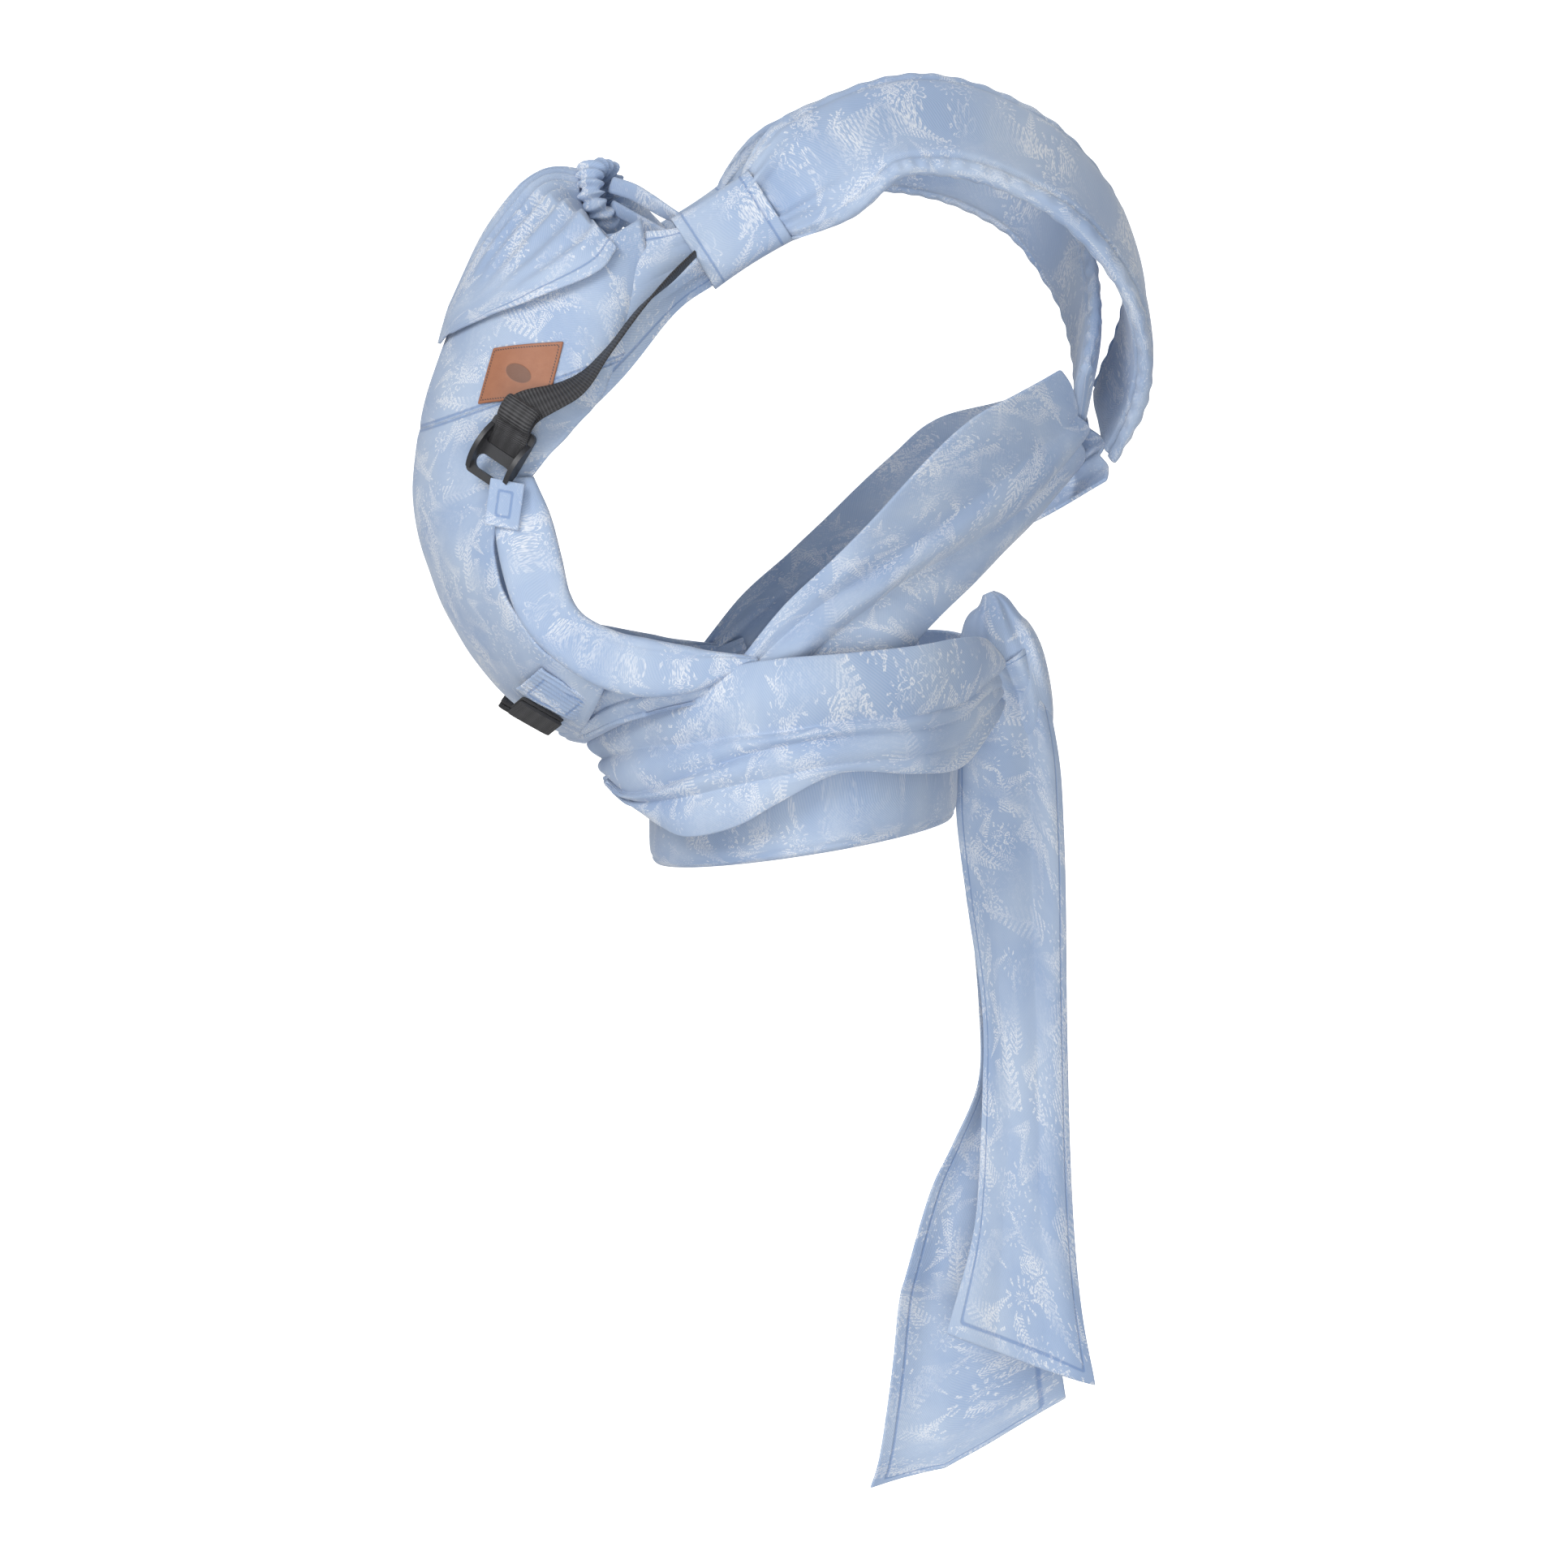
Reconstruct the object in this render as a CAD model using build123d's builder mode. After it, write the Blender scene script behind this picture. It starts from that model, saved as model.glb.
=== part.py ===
"""Tie-on baby carrier with a wrap-cloth panel, padded shoulder straps and wrap-around ends.

Millimetres. +Z is up, the wearer faces -Y and the wearer's left is +X. The origin is the middle
of the line across the wearer's shoulders, where the two padded straps carry the load.
"""
from build123d import *
import os
from math import atan2, cos, radians, sin

os.makedirs("parts", exist_ok=True)

# Driving dimensions
CLOTH = 5.0                 # folded wrap cloth with its lining and hems
CLEAR = 0.6                 # air between pieces that are not sewn into each other
PAD = 15.0                  # thickness of a shoulder strap's padding
PAD_WALL = 2.0              # cover cloth round a foam core
STRAP_WIDTH = 98.0          # padded shoulder strap
GATHERED_WIDTH = 42.0       # the same strap where it is gathered into its sleeve
WEBBING = 25.0              # width of the adjuster webbing
WEBBING_THICK = 1.8
WAIST_HALF_WIDTH = 140.0    # outside of the waistband, side to side
WAIST_HALF_DEPTH = 101.0    # outside of the waistband, front to back
WAIST_CENTRE_Y = -64.0
WAISTBAND_LOW_Z = -461.0     # lower edge of the waistband at the wearer's side
WAISTBAND_HEIGHT = 96.0
WAISTBAND_THICK = 15.0
WAISTBAND_TILT = 9.5        # degrees, the band rises towards the back
WAISTBAND_CUT = 60.0        # extra height that the sloping cuts take off again
WAISTBAND_FOAM_GAP = 60.0   # the foam stops well short of the band's two ends
WAISTBAND_END_GAP = 6.0

# The panel is drawn as arches round the baby's middle: at each angle, the reach of the
# arch's crown, the reach of its two side edges and half the distance between these edges.
PANEL_Y = -155.0
PANEL_Z = -209.5
PANEL_ARCHES = [
    (96, 199, 90, 91),
    (112, 198, 77, 94),
    (128, 181, 68, 96),
    (144, 164, 61, 97),
    (160, 159, 63, 98),
    (176, 161, 75, 99),
    (188, 166, 97, 98),
    (200, 169, 126, 92),
    (212, 172, 138, 98),
    (226, 180, 147, 106),
    (238, 188, 152, 112),
    (248, 192, 153, 117),
]
SEAM_POINT = (0, -312.4, -192.4)     # cross seam, front
SEAM_SLOPE = 19.8                    # degrees, the seam rises towards the wearer
TOP_POINT = (0, -286, -118)          # top edge of the panel, front
TOP_SLOPE = 9.8
HOOD_ARCHES = [              # over the panel's upper arches, open below, drawn in at the top
    (106, 201, 148, 40),
    (109, 200, 128, 76),
    (112, 198, 117.5, 95.6),
    (128, 181, 121.6, 89.6),
    (144, 164, 137, 67.2),
    (153, 161.5, 152, 42),
]
HOOD_OUT = 7.0                       # outside of the hood over the outside of the panel
HOOD_CLOTH = 3.0
RING_POINT = (0, -190, -42)          # gathered opening of the hood
RING_OUT = (0, 0.97, 0.24)           # the way the opening faces
RING_RADIUS = 27.0
RING_TUBE = 6.0

# Straps as slices along their run: centre, direction across the strap, width, thickness.
# Those that exist on both sides are given on the wearer's left.
SLEEVE_POINT = (84, -119, -67)
SLEEVE_ALONG = (0.06, 0.84, 0.53)
SLEEVE_ACROSS = (0.22, 0.51, -0.83)
SLEEVE_WIDTH = 50.0
SLEEVE_THICK = 20.0
SLEEVE_WALL = 2.5
SLEEVE_LENGTH = 58.0
STRAP_DROOP = (0.75, 0, -0.66)       # across the strap where it lies on a shoulder
STRAP_FRONT = [
    ((84, -119, -67), SLEEVE_ACROSS, GATHERED_WIDTH, 11),
    ((86, -94, -50), SLEEVE_ACROSS, GATHERED_WIDTH, 11),
    ((88, -64, -27), (0.5, 0.3, -0.8), 76, PAD),
    ((88, -27, -5), (0.72, 0.1, -0.68), 94, PAD),
    ((87, 11, 0), STRAP_DROOP, STRAP_WIDTH, PAD),
    ((82, 54, -10), STRAP_DROOP, STRAP_WIDTH, PAD),
]
OUTER_PAD = STRAP_FRONT + [          # over the left shoulder, outermost at the back
    ((72, 98, -34), STRAP_DROOP, STRAP_WIDTH, PAD),
    ((52, 134, -74), STRAP_DROOP, 96, PAD),
    ((28, 151, -116), STRAP_DROOP, 94, PAD),
    ((0, 152, -152), STRAP_DROOP, 90, PAD),
    ((-30, 140, -188), STRAP_DROOP, 84, PAD - 2),
]
INNER_PAD = STRAP_FRONT + [          # over the right shoulder, under the other at the back
    ((72, 93, -34), STRAP_DROOP, STRAP_WIDTH, PAD),
    ((55, 117, -74), STRAP_DROOP, 94, PAD),
    ((34, 126, -111), STRAP_DROOP, 90, PAD),
    ((7, 125, -148), STRAP_DROOP, 84, PAD - 1),
    ((-19, 115, -179), STRAP_DROOP, 80, PAD - 3),
]
INNER_CROSS = [                      # pleated cloth from the right pad to the left hip
    ((20, 114.6, -180.2), (-0.75, 0, -0.66), 78, 10),
    ((26, 112, -187), (-0.75, 0, -0.66), 78, 10),
    ((66, 76, -214), (-0.4, 0.34, -0.85), 77, 10),
    ((106, 24, -252), (-0.22, 0.49, -0.81), 76, 10),
    ((129, -18, -285), (-0.06, 0.58, -0.79), 76, 10),
    ((135, -62, -318), (0.1, 0.58, -0.8), 78, 9),
    ((129, -112, -358), (0.1, 0.58, -0.8), 80, 9),
]
OUTER_CROSS = [                      # the same from the left pad, drawn on the left side
    ((31, 139.6, -189.2), (-0.75, 0, -0.66), 80, 10),
    ((37, 137.2, -196), (-0.75, 0, -0.66), 80, 10),
    ((70, 92, -216), (-0.4, 0.34, -0.85), 77, 10),
    ((108, 28, -253), (-0.22, 0.49, -0.81), 76, 10),
    ((129, -18, -285), (-0.06, 0.58, -0.79), 76, 10),
    ((135, -62, -318), (0.1, 0.58, -0.8), 78, 9),
    ((129, -112, -358), (0.1, 0.58, -0.8), 80, 9),
]
CROSS_END_Z = -346.0
WAIST_WRAP = [                       # from under the seat round the hip to the knot
    ((5, -194, -402), (0, 0, 1), 46, 17),
    ((60, -181, -405), (0, 0, 1), 62, 15),
    ((112, -152, -408), (0, 0, 1), 92, 13),
    ((144, -108, -397), (0, 0, 1), 100, 12),
    ((153, -62, -382), (0, 0, 1), 88, 12),
    ((144, -12, -373), (0, 0, 1), 82, 12),
    ((104, 32, -362), (0, 0, 1), 74, 13),
    ((62, 52, -352), (0, 0, 1), 60, 15),
    ((27, 60, -346), (0, 0, 1), 42, 18),
]
TOP_CORNER = [                       # panel corner drawn into the sleeve
    ((92, -161.5, -108), (0.1, 0.05, -1), 22, 6),
    ((83, -142, -81.5), SLEEVE_ACROSS, 38, 9),
    ((83.8, -122.4, -69.1), SLEEVE_ACROSS, 38, 9),
]
HOOD_TIE = [
    ((33, -183, -37), (0.2, 0.4, -0.9), 12, 4),
    ((56, -168, -47), (0.2, 0.4, -0.9), 12, 4),
    ((77, -154, -52), (0.2, 0.4, -0.9), 12, 4),
]
LEG_PAD = [
    ((104, -255, -259), (0.5, 1, 0.1), 22, 7),
    ((110, -246, -281), (0.42, 1, 0.15), 32, 11),
    ((117, -236, -305), (0.35, 1, 0.3), 32, 12),
    ((123, -217, -324), (0.3, 0.75, 0.65), 31, 12),
    ((129, -191, -336), (0.3, 0.3, 0.9), 31, 12),
    ((135, -163, -340), (0.3, 0.1, 0.9), 31, 11),
]
NEAR_TAIL = [
    ((15, 70, -396), (0, 1, 0), 44, 13),
    ((15, 73, -454), (0, 1, 0), 70, 11),
    ((15, 77, -520), (0, 1, 0), 66, 10),
    ((15, 80, -600), (0, 1, 0), 58, 9),
    ((15, 80, -690), (0, 1, 0), 62, 9),
    ((15, 80, -760), (0, 1, 0), 76, 9),
    ((15, 79, -835), (0, 1, 0), 98, 9),
]
NEAR_HEM_POINT = (15, 30, -783)
NEAR_HEM_SLOPE = -19.0
FAR_TAIL = [
    ((-12, 70, -396), (0, 1, 0), 40, 13),
    ((-12, 74, -454), (0, 1, 0), 56, 10),
    ((-12, 76, -560), (0, 1, 0), 56, 9),
    ((-12, 72, -630), (0, 1, 0), 64, 9),
    ((-12, 60, -700), (0, 1, 0), 86, 9),
    ((-12, 50, -770), (0, 1, 0), 104, 9),
    ((-12, 42, -900), (0, 1, 0), 126, 9),
]
FAR_HEM_POINT = (-12, -20, -884)
FAR_HEM_SLOPE = 20.5
KNOT_SLICES = [                      # height, middle, width, depth
    (-302, 60, 10, 12),
    (-318, 60, 28, 30),
    (-340, 60, 34, 42),
    (-362, 62, 40, 46),
    (-382, 67, 46, 42),
    (-394, 70, 46, 36),
]

# Small pieces on the wearer's left half of the panel
PATCH_POINT = (86, -254.6, -157.6)
PATCH_ALONG = (0.46, 0.95, 0.06)
PATCH_OUT = (0.871, -0.436, 0.226)
PATCH_LENGTH = 50.0
PATCH_HEIGHT = 36.0
PATCH_THICK = 1.6
CHANNEL_POINT = (84.6, -231.5, -362.9)
CHANNEL_ALONG = (-0.885, -0.304, -0.33)
CHANNEL_OUT = (0.44, -0.40, -0.804)
CHANNEL_LENGTH = 40.0
CHANNEL_WIDTH = 38.0
TAB_LENGTH = 32.0
TAB_WIDTH = 20.0
TAB_THICK = 4.0
CHANNEL_LIFT = 3.0           # the cloth under it is curved
TAB_LIFT = 4.0
BUCKLE_POINT = (97, -266, -209)
BUCKLE_ACROSS = (0.384, 0.761, -0.523)
BUCKLE_OUT = (0.90, -0.42, 0.05)
BUCKLE_WIDTH = 32.0
BUCKLE_LENGTH = 42.0
BUCKLE_PLATE = 3.5
BUCKLE_SLOTS = [(-11, 10), (4, 4.5), (13, 4.5)]    # place along the buckle, opening
CHEEK_THICK = 3.2
CHEEK_HEIGHT = 11.0
CHEEK_FRONT = 14.0           # the cheeks end here, short of the paddle's tip
PADDLE_OUTLINE = [(-11, 15), (11, 15), (2, 33), (-2, 33), (-11, 15)]
PADDLE_THICK = 3.0
ADJUSTER_WEBBING = [
    ((105, -150, -85), (0.5, 0.6, -0.4), WEBBING, WEBBING_THICK),
    ((103.5, -177, -111), (0.5, 0.7, -0.45), WEBBING, WEBBING_THICK),
    ((104.5, -204, -141), (0.4, 0.75, -0.5), WEBBING, WEBBING_THICK),
    ((104.5, -229, -166), (0.38, 0.76, -0.52), WEBBING, WEBBING_THICK),
    ((106, -248, -179), (0.384, 0.761, -0.523), WEBBING, WEBBING_THICK),
]
END_START = 19.0
END_LENGTH = 16.0
END_LIFT = 12.0
END_THICK = 5.0
BUCKLE_TAB_POINT = (101, -266, -245)
BUCKLE_TAB_ACROSS = (0.36, 0.93, 0)
BUCKLE_TAB_OUT = (0.93, -0.36, 0)
BUCKLE_TAB_WIDTH = 20.0
BUCKLE_TAB_LENGTH = 20.0


def side_of(point, side):
    """The same place on the wearer's left (side 1) or right (side -1)."""
    return Vector(point[0] * side, point[1], point[2])


def arch_slices(arches, thick, inset=0.0):
    """One curved, open-ended slice per angle, all round the X axis through the baby."""
    slices = []
    for angle, crown, edge, half in arches:
        rise = crown - edge
        radius = (half ** 2 + rise ** 2) / (2 * rise)
        hub = crown - radius
        end = atan2(edge - hub, half)
        outer = radius - inset
        inner = outer - thick
        turn = radians(angle)
        radial = (0, cos(turn), sin(turn))
        tangent = Vector(1, 0, 0).cross(Vector(*radial))
        plane = Plane(origin=(0, PANEL_Y, PANEL_Z), x_dir=(1, 0, 0), z_dir=tangent)
        flip = 1 if plane.y_dir.dot(Vector(*radial)) > 0 else -1
        with BuildSketch(plane) as slice_shape:
            with BuildLine():
                o1 = (outer * cos(end), flip * (hub + outer * sin(end)))
                i1 = (inner * cos(end), flip * (hub + inner * sin(end)))
                o0, i0 = (-o1[0], o1[1]), (-i1[0], i1[1])
                ThreePointArc(o0, (0, flip * (hub + outer)), o1)
                Line(o1, i1)
                ThreePointArc(i1, (0, flip * (hub + inner)), i0)
                Line(i0, o0)
            make_face()
        slices.append(slice_shape.sketch)
    return slices


def slope_plane(point, slope):
    """A plane through point that holds the X axis and rises towards the wearer."""
    turn = radians(slope)
    return Plane(origin=point, x_dir=(1, 0, 0), z_dir=(0, -sin(turn), cos(turn)))


def band_slices(stations, shrink=0.0, end_trim=0.0):
    """A strap: rounded flat slices, each given as (centre, across, width, thickness)."""
    slices = []
    count = len(stations)
    for i, (centre, across, width, thick) in enumerate(stations):
        before = Vector(*stations[max(i - 1, 0)][0])
        after = Vector(*stations[min(i + 1, count - 1)][0])
        along = (after - before).normalized()
        wide = Vector(*across)
        wide = (wide - along * wide.dot(along)).normalized()
        shift = along * (end_trim if i == 0 else -end_trim if i == count - 1 else 0)
        with BuildSketch(Plane(origin=Vector(*centre) + shift, x_dir=wide, z_dir=along)) as slot:
            SlotOverall(width - 2 * shrink, thick - 2 * shrink)
        slices.append(slot.sketch)
    return slices


def mirrored(stations, side):
    """Strap stations for one side of the body."""
    return [(side_of(c, side), side_of(a, side), w, t) for c, a, w, t in stations]


def write(piece, name):
    """Label one finished piece and save it under its own name."""
    piece.part.label = name
    export_step(piece.part, f"parts/{name}.step")
    print(f"{name:22s} {piece.part.volume / 1000:8.2f} cm3")


def write_pair(piece, name):
    """Save a piece of the wearer's left side and its mirror image for the right side."""
    with BuildPart() as other:
        mirror(piece.part, about=Plane.YZ)
    write(piece, f"left_{name}")
    write(other, f"right_{name}")


# ---------------------------------------------------------------- body panel
seam = slope_plane(SEAM_POINT, SEAM_SLOPE)

with BuildPart() as lower_panel:
    loft(arch_slices(PANEL_ARCHES, CLOTH))
    split(bisect_by=seam.offset(-CLEAR / 2), keep=Keep.BOTTOM)
write(lower_panel, "lower_panel")

with BuildPart() as upper_panel:
    loft(arch_slices(PANEL_ARCHES, CLOTH))
    split(bisect_by=seam.offset(CLEAR / 2), keep=Keep.TOP)
    split(bisect_by=slope_plane(TOP_POINT, TOP_SLOPE), keep=Keep.BOTTOM)
write(upper_panel, "upper_panel")

with BuildPart() as top_corner:
    loft(band_slices(TOP_CORNER))
write_pair(top_corner, "top_corner")

with BuildPart() as leather_patch:
    with BuildSketch(Plane(origin=PATCH_POINT, x_dir=PATCH_ALONG, z_dir=PATCH_OUT)):
        RectangleRounded(PATCH_LENGTH, PATCH_HEIGHT, 2)
    extrude(amount=PATCH_THICK)
write(leather_patch, "leather_patch")

# ---------------------------------------------------------------- hood
with BuildPart() as hood:
    loft(arch_slices(HOOD_ARCHES, HOOD_CLOTH, inset=-HOOD_OUT))
write(hood, "hood")

with BuildPart() as hood_ring:
    with BuildSketch(Plane(origin=RING_POINT, x_dir=RING_OUT, z_dir=(1, 0, 0))) as ring_profile:
        with Locations((0, RING_RADIUS)):
            Circle(RING_TUBE)
    revolve(axis=Axis(RING_POINT, RING_OUT))
write(hood_ring, "hood_ring")

with BuildPart() as hood_tie:
    loft(band_slices(HOOD_TIE))
write_pair(hood_tie, "hood_tie")

# ---------------------------------------------------------------- leg pads
with BuildPart() as leg_foam:
    loft(band_slices(LEG_PAD, shrink=PAD_WALL, end_trim=4))
write_pair(leg_foam, "leg_foam")

with BuildPart() as leg_pad:
    loft(band_slices(LEG_PAD))
    add(leg_foam.part, mode=Mode.SUBTRACT)
write_pair(leg_pad, "leg_pad")

# ---------------------------------------------------------------- seat width adjuster
channel_plane = Plane(origin=CHANNEL_POINT, x_dir=CHANNEL_ALONG, z_dir=CHANNEL_OUT)

with BuildPart() as width_channel:
    with BuildSketch(channel_plane.offset(CHANNEL_LIFT)):
        RectangleRounded(CHANNEL_LENGTH, CHANNEL_WIDTH, 3)
    extrude(amount=1.6)
write_pair(width_channel, "width_channel")

with BuildPart() as width_tab:
    with BuildSketch(channel_plane.offset(TAB_LIFT)):
        with Locations((CHANNEL_LENGTH / 2 + 2 + TAB_LENGTH / 2, 0)):
            RectangleRounded(TAB_LENGTH, TAB_WIDTH, 2)
    extrude(amount=TAB_THICK)
write_pair(width_tab, "width_tab")

# ---------------------------------------------------------------- shoulder straps
for side, name, pad in ((1, "left", OUTER_PAD), (-1, "right", INNER_PAD)):
    with BuildPart() as shoulder_foam:
        loft(band_slices(mirrored(pad, side), shrink=PAD_WALL, end_trim=8))
    write(shoulder_foam, f"{name}_shoulder_foam")

    with BuildPart() as shoulder_pad:
        loft(band_slices(mirrored(pad, side)))
        add(shoulder_foam.part, mode=Mode.SUBTRACT)
    write(shoulder_pad, f"{name}_shoulder_pad")

with BuildPart() as sleeve:
    with BuildSketch(Plane(origin=SLEEVE_POINT, x_dir=SLEEVE_ACROSS, z_dir=SLEEVE_ALONG)):
        SlotOverall(SLEEVE_WIDTH, SLEEVE_THICK)
        SlotOverall(SLEEVE_WIDTH - 2 * SLEEVE_WALL, SLEEVE_THICK - 2 * SLEEVE_WALL,
                    mode=Mode.SUBTRACT)
    extrude(amount=SLEEVE_LENGTH / 2, both=True)
write_pair(sleeve, "strap_sleeve")

# ---------------------------------------------------------------- wrap cloth
# A strap crosses the back, so the right shoulder's wrap runs over the wearer's left hip.
cross_cut = slope_plane((0, WAIST_CENTRE_Y, CROSS_END_Z), WAISTBAND_TILT)
for side, name, wrap in ((1, "right", INNER_CROSS), (-1, "left", OUTER_CROSS)):
    with BuildPart() as cross_wrap:
        loft(band_slices(mirrored(wrap, side)))
        split(bisect_by=cross_cut, keep=Keep.TOP)
    write(cross_wrap, f"{name}_cross_wrap")

with BuildPart() as waist_wrap:
    loft(band_slices(WAIST_WRAP))
write_pair(waist_wrap, "waist_wrap")

with BuildPart() as knot:
    slices = []
    for height, middle_y, wide, deep in KNOT_SLICES:
        with BuildSketch(Plane.XY.offset(height)) as knot_slice:
            with Locations((0, middle_y)):
                Ellipse(wide / 2, deep / 2)
        slices.append(knot_slice.sketch)
    loft(slices)
write(knot, "knot")

for name, tail_stations, hem_point, hem_slope in (
    ("near_tail", NEAR_TAIL, NEAR_HEM_POINT, NEAR_HEM_SLOPE),
    ("far_tail", FAR_TAIL, FAR_HEM_POINT, FAR_HEM_SLOPE),
):
    with BuildPart() as tail:
        loft(band_slices(tail_stations))
        split(bisect_by=slope_plane(hem_point, hem_slope), keep=Keep.TOP)
    write(tail, name)

# ---------------------------------------------------------------- waistband
band_low = slope_plane((0, WAIST_CENTRE_Y, WAISTBAND_LOW_Z), WAISTBAND_TILT)


def waist_ring(inset, end_gap):
    """The open ring round the waist, drawn in from its outside and cut by sloping planes."""
    with BuildPart() as ring:
        with BuildSketch(Plane.XY.offset(WAISTBAND_LOW_Z - WAISTBAND_CUT)):
            with Locations((0, WAIST_CENTRE_Y)):
                Ellipse(WAIST_HALF_WIDTH - inset, WAIST_HALF_DEPTH - inset)
                Ellipse(WAIST_HALF_WIDTH - WAISTBAND_THICK + inset,
                        WAIST_HALF_DEPTH - WAISTBAND_THICK + inset, mode=Mode.SUBTRACT)
        extrude(amount=WAISTBAND_HEIGHT + 2 * WAISTBAND_CUT)
        split(bisect_by=band_low.offset(inset), keep=Keep.TOP)
        split(bisect_by=band_low.offset(WAISTBAND_HEIGHT - inset), keep=Keep.BOTTOM)
        with Locations((0, WAIST_CENTRE_Y + WAIST_HALF_DEPTH, WAISTBAND_LOW_Z)):
            Box(end_gap, WAIST_HALF_DEPTH, 3 * WAISTBAND_HEIGHT, mode=Mode.SUBTRACT)
    return ring


waistband_foam = waist_ring(inset=2.5, end_gap=WAISTBAND_FOAM_GAP)
write(waistband_foam, "waistband_foam")

with BuildPart() as waistband:
    add(waist_ring(inset=0, end_gap=WAISTBAND_END_GAP).part)
    add(waistband_foam.part, mode=Mode.SUBTRACT)
write(waistband, "waistband")

# ---------------------------------------------------------------- webbing and ladder-lock
buckle_plane = Plane(origin=BUCKLE_POINT, x_dir=BUCKLE_ACROSS, z_dir=BUCKLE_OUT)

with BuildPart() as webbing:
    loft(band_slices(ADJUSTER_WEBBING))
write_pair(webbing, "adjuster_webbing")

with BuildPart() as buckle:
    with BuildSketch(buckle_plane):
        RectangleRounded(BUCKLE_WIDTH, BUCKLE_LENGTH, 4)
        for along, opening in BUCKLE_SLOTS:
            with Locations((0, along)):
                SlotOverall(WEBBING + 0.5, opening, mode=Mode.SUBTRACT)
    extrude(amount=BUCKLE_PLATE)
    for offset in (-1, 1):
        cheek_offset = offset * (BUCKLE_WIDTH - CHEEK_THICK) / 2
        cheek_middle = buckle_plane.from_local_coords((cheek_offset, 0, 0))
        with BuildSketch(Plane(origin=cheek_middle, x_dir=buckle_plane.y_dir,
                               z_dir=buckle_plane.x_dir)):
            with BuildLine():
                back = 2 - BUCKLE_LENGTH / 2
                Line((back, 0), (CHEEK_FRONT, 0))
                Line((CHEEK_FRONT, 0), (CHEEK_FRONT, BUCKLE_PLATE))
                ThreePointArc((CHEEK_FRONT, BUCKLE_PLATE), (-6, CHEEK_HEIGHT), (back, BUCKLE_PLATE))
                Line((back, BUCKLE_PLATE), (back, 0))
            make_face()
        extrude(amount=CHEEK_THICK / 2, both=True)
    with BuildSketch(buckle_plane.offset(BUCKLE_PLATE - 1)) as paddle:
        with BuildLine():
            Polyline(*PADDLE_OUTLINE)
        make_face()
        fillet(paddle.vertices(), 1.8)
    extrude(amount=PADDLE_THICK)
write_pair(buckle, "buckle")

with BuildPart() as webbing_end:
    with BuildSketch(buckle_plane.offset(END_LIFT)):
        with Locations((0, END_START + END_LENGTH / 2)):
            RectangleRounded(WEBBING, END_LENGTH, 1.5)
    extrude(amount=END_THICK)
write_pair(webbing_end, "webbing_end")

with BuildPart() as buckle_tab:
    with BuildSketch(Plane(origin=BUCKLE_TAB_POINT, x_dir=BUCKLE_TAB_ACROSS, z_dir=BUCKLE_TAB_OUT)):
        RectangleRounded(BUCKLE_TAB_WIDTH, BUCKLE_TAB_LENGTH, 1)
    extrude(amount=2)
write_pair(buckle_tab, "buckle_tab")
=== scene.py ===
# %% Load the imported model
from math import atan2, cos, exp, pi, radians, sin, sqrt

import bmesh
import bpy
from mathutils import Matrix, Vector, noise
from mathutils.bvhtree import BVHTree


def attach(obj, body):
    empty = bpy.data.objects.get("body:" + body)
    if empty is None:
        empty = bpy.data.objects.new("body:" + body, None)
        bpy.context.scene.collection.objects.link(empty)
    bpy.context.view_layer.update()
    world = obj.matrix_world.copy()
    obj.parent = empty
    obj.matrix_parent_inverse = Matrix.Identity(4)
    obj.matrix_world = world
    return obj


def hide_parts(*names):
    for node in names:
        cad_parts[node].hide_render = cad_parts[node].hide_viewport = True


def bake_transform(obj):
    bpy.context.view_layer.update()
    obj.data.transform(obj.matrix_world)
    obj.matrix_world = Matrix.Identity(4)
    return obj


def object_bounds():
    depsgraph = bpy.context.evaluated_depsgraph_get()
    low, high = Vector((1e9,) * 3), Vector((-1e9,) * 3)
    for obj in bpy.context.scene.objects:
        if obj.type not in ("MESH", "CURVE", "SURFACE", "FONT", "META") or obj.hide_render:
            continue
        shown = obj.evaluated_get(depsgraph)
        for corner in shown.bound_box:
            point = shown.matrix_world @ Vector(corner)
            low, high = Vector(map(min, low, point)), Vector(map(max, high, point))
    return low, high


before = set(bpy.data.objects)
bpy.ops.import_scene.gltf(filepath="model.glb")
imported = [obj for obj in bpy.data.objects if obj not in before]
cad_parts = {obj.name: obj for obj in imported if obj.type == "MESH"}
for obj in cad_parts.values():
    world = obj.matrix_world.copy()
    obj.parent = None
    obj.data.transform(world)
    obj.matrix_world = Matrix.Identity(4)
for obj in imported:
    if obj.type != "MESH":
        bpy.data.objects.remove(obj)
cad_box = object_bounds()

MM = 0.001

# %% [markdown]
# ## The view
# The carrier is seen from the wearer's left, almost in profile and a little from the front. A
# long lens far away keeps the near and the far strap nearly the same size. The floor and the
# surroundings are pale, so that soft light comes from all sides, as in a shop's studio.

# %% Camera
VIEW_AZIMUTH, VIEW_ELEVATION = radians(84.0), radians(3.0)
VIEW_DISTANCE = 4.0
VIEW_WIDTH = 1.024                      # metres across the frame at the object
VIEW_TARGET = Vector((0.0, -0.0767, -0.4245))
toward = Vector((sin(VIEW_AZIMUTH) * cos(VIEW_ELEVATION),
                 -cos(VIEW_AZIMUTH) * cos(VIEW_ELEVATION), sin(VIEW_ELEVATION)))
camera = bpy.data.objects.new("camera", bpy.data.cameras.new("camera"))
camera.data.sensor_width = 36.0
camera.data.lens = 36.0 * VIEW_DISTANCE / VIEW_WIDTH
camera.location = VIEW_TARGET + toward * VIEW_DISTANCE
camera.rotation_euler = (-toward).to_track_quat("-Z", "Y").to_euler()
bpy.context.collection.objects.link(camera)
bpy.context.scene.camera = camera
bpy.context.scene.view_settings.view_transform = "Standard"
print("camera", [round(c, 3) for c in camera.location])

# %% Floor and light
FLOOR_GAP = 0.02                        # metres from the lower tail to the floor


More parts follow.
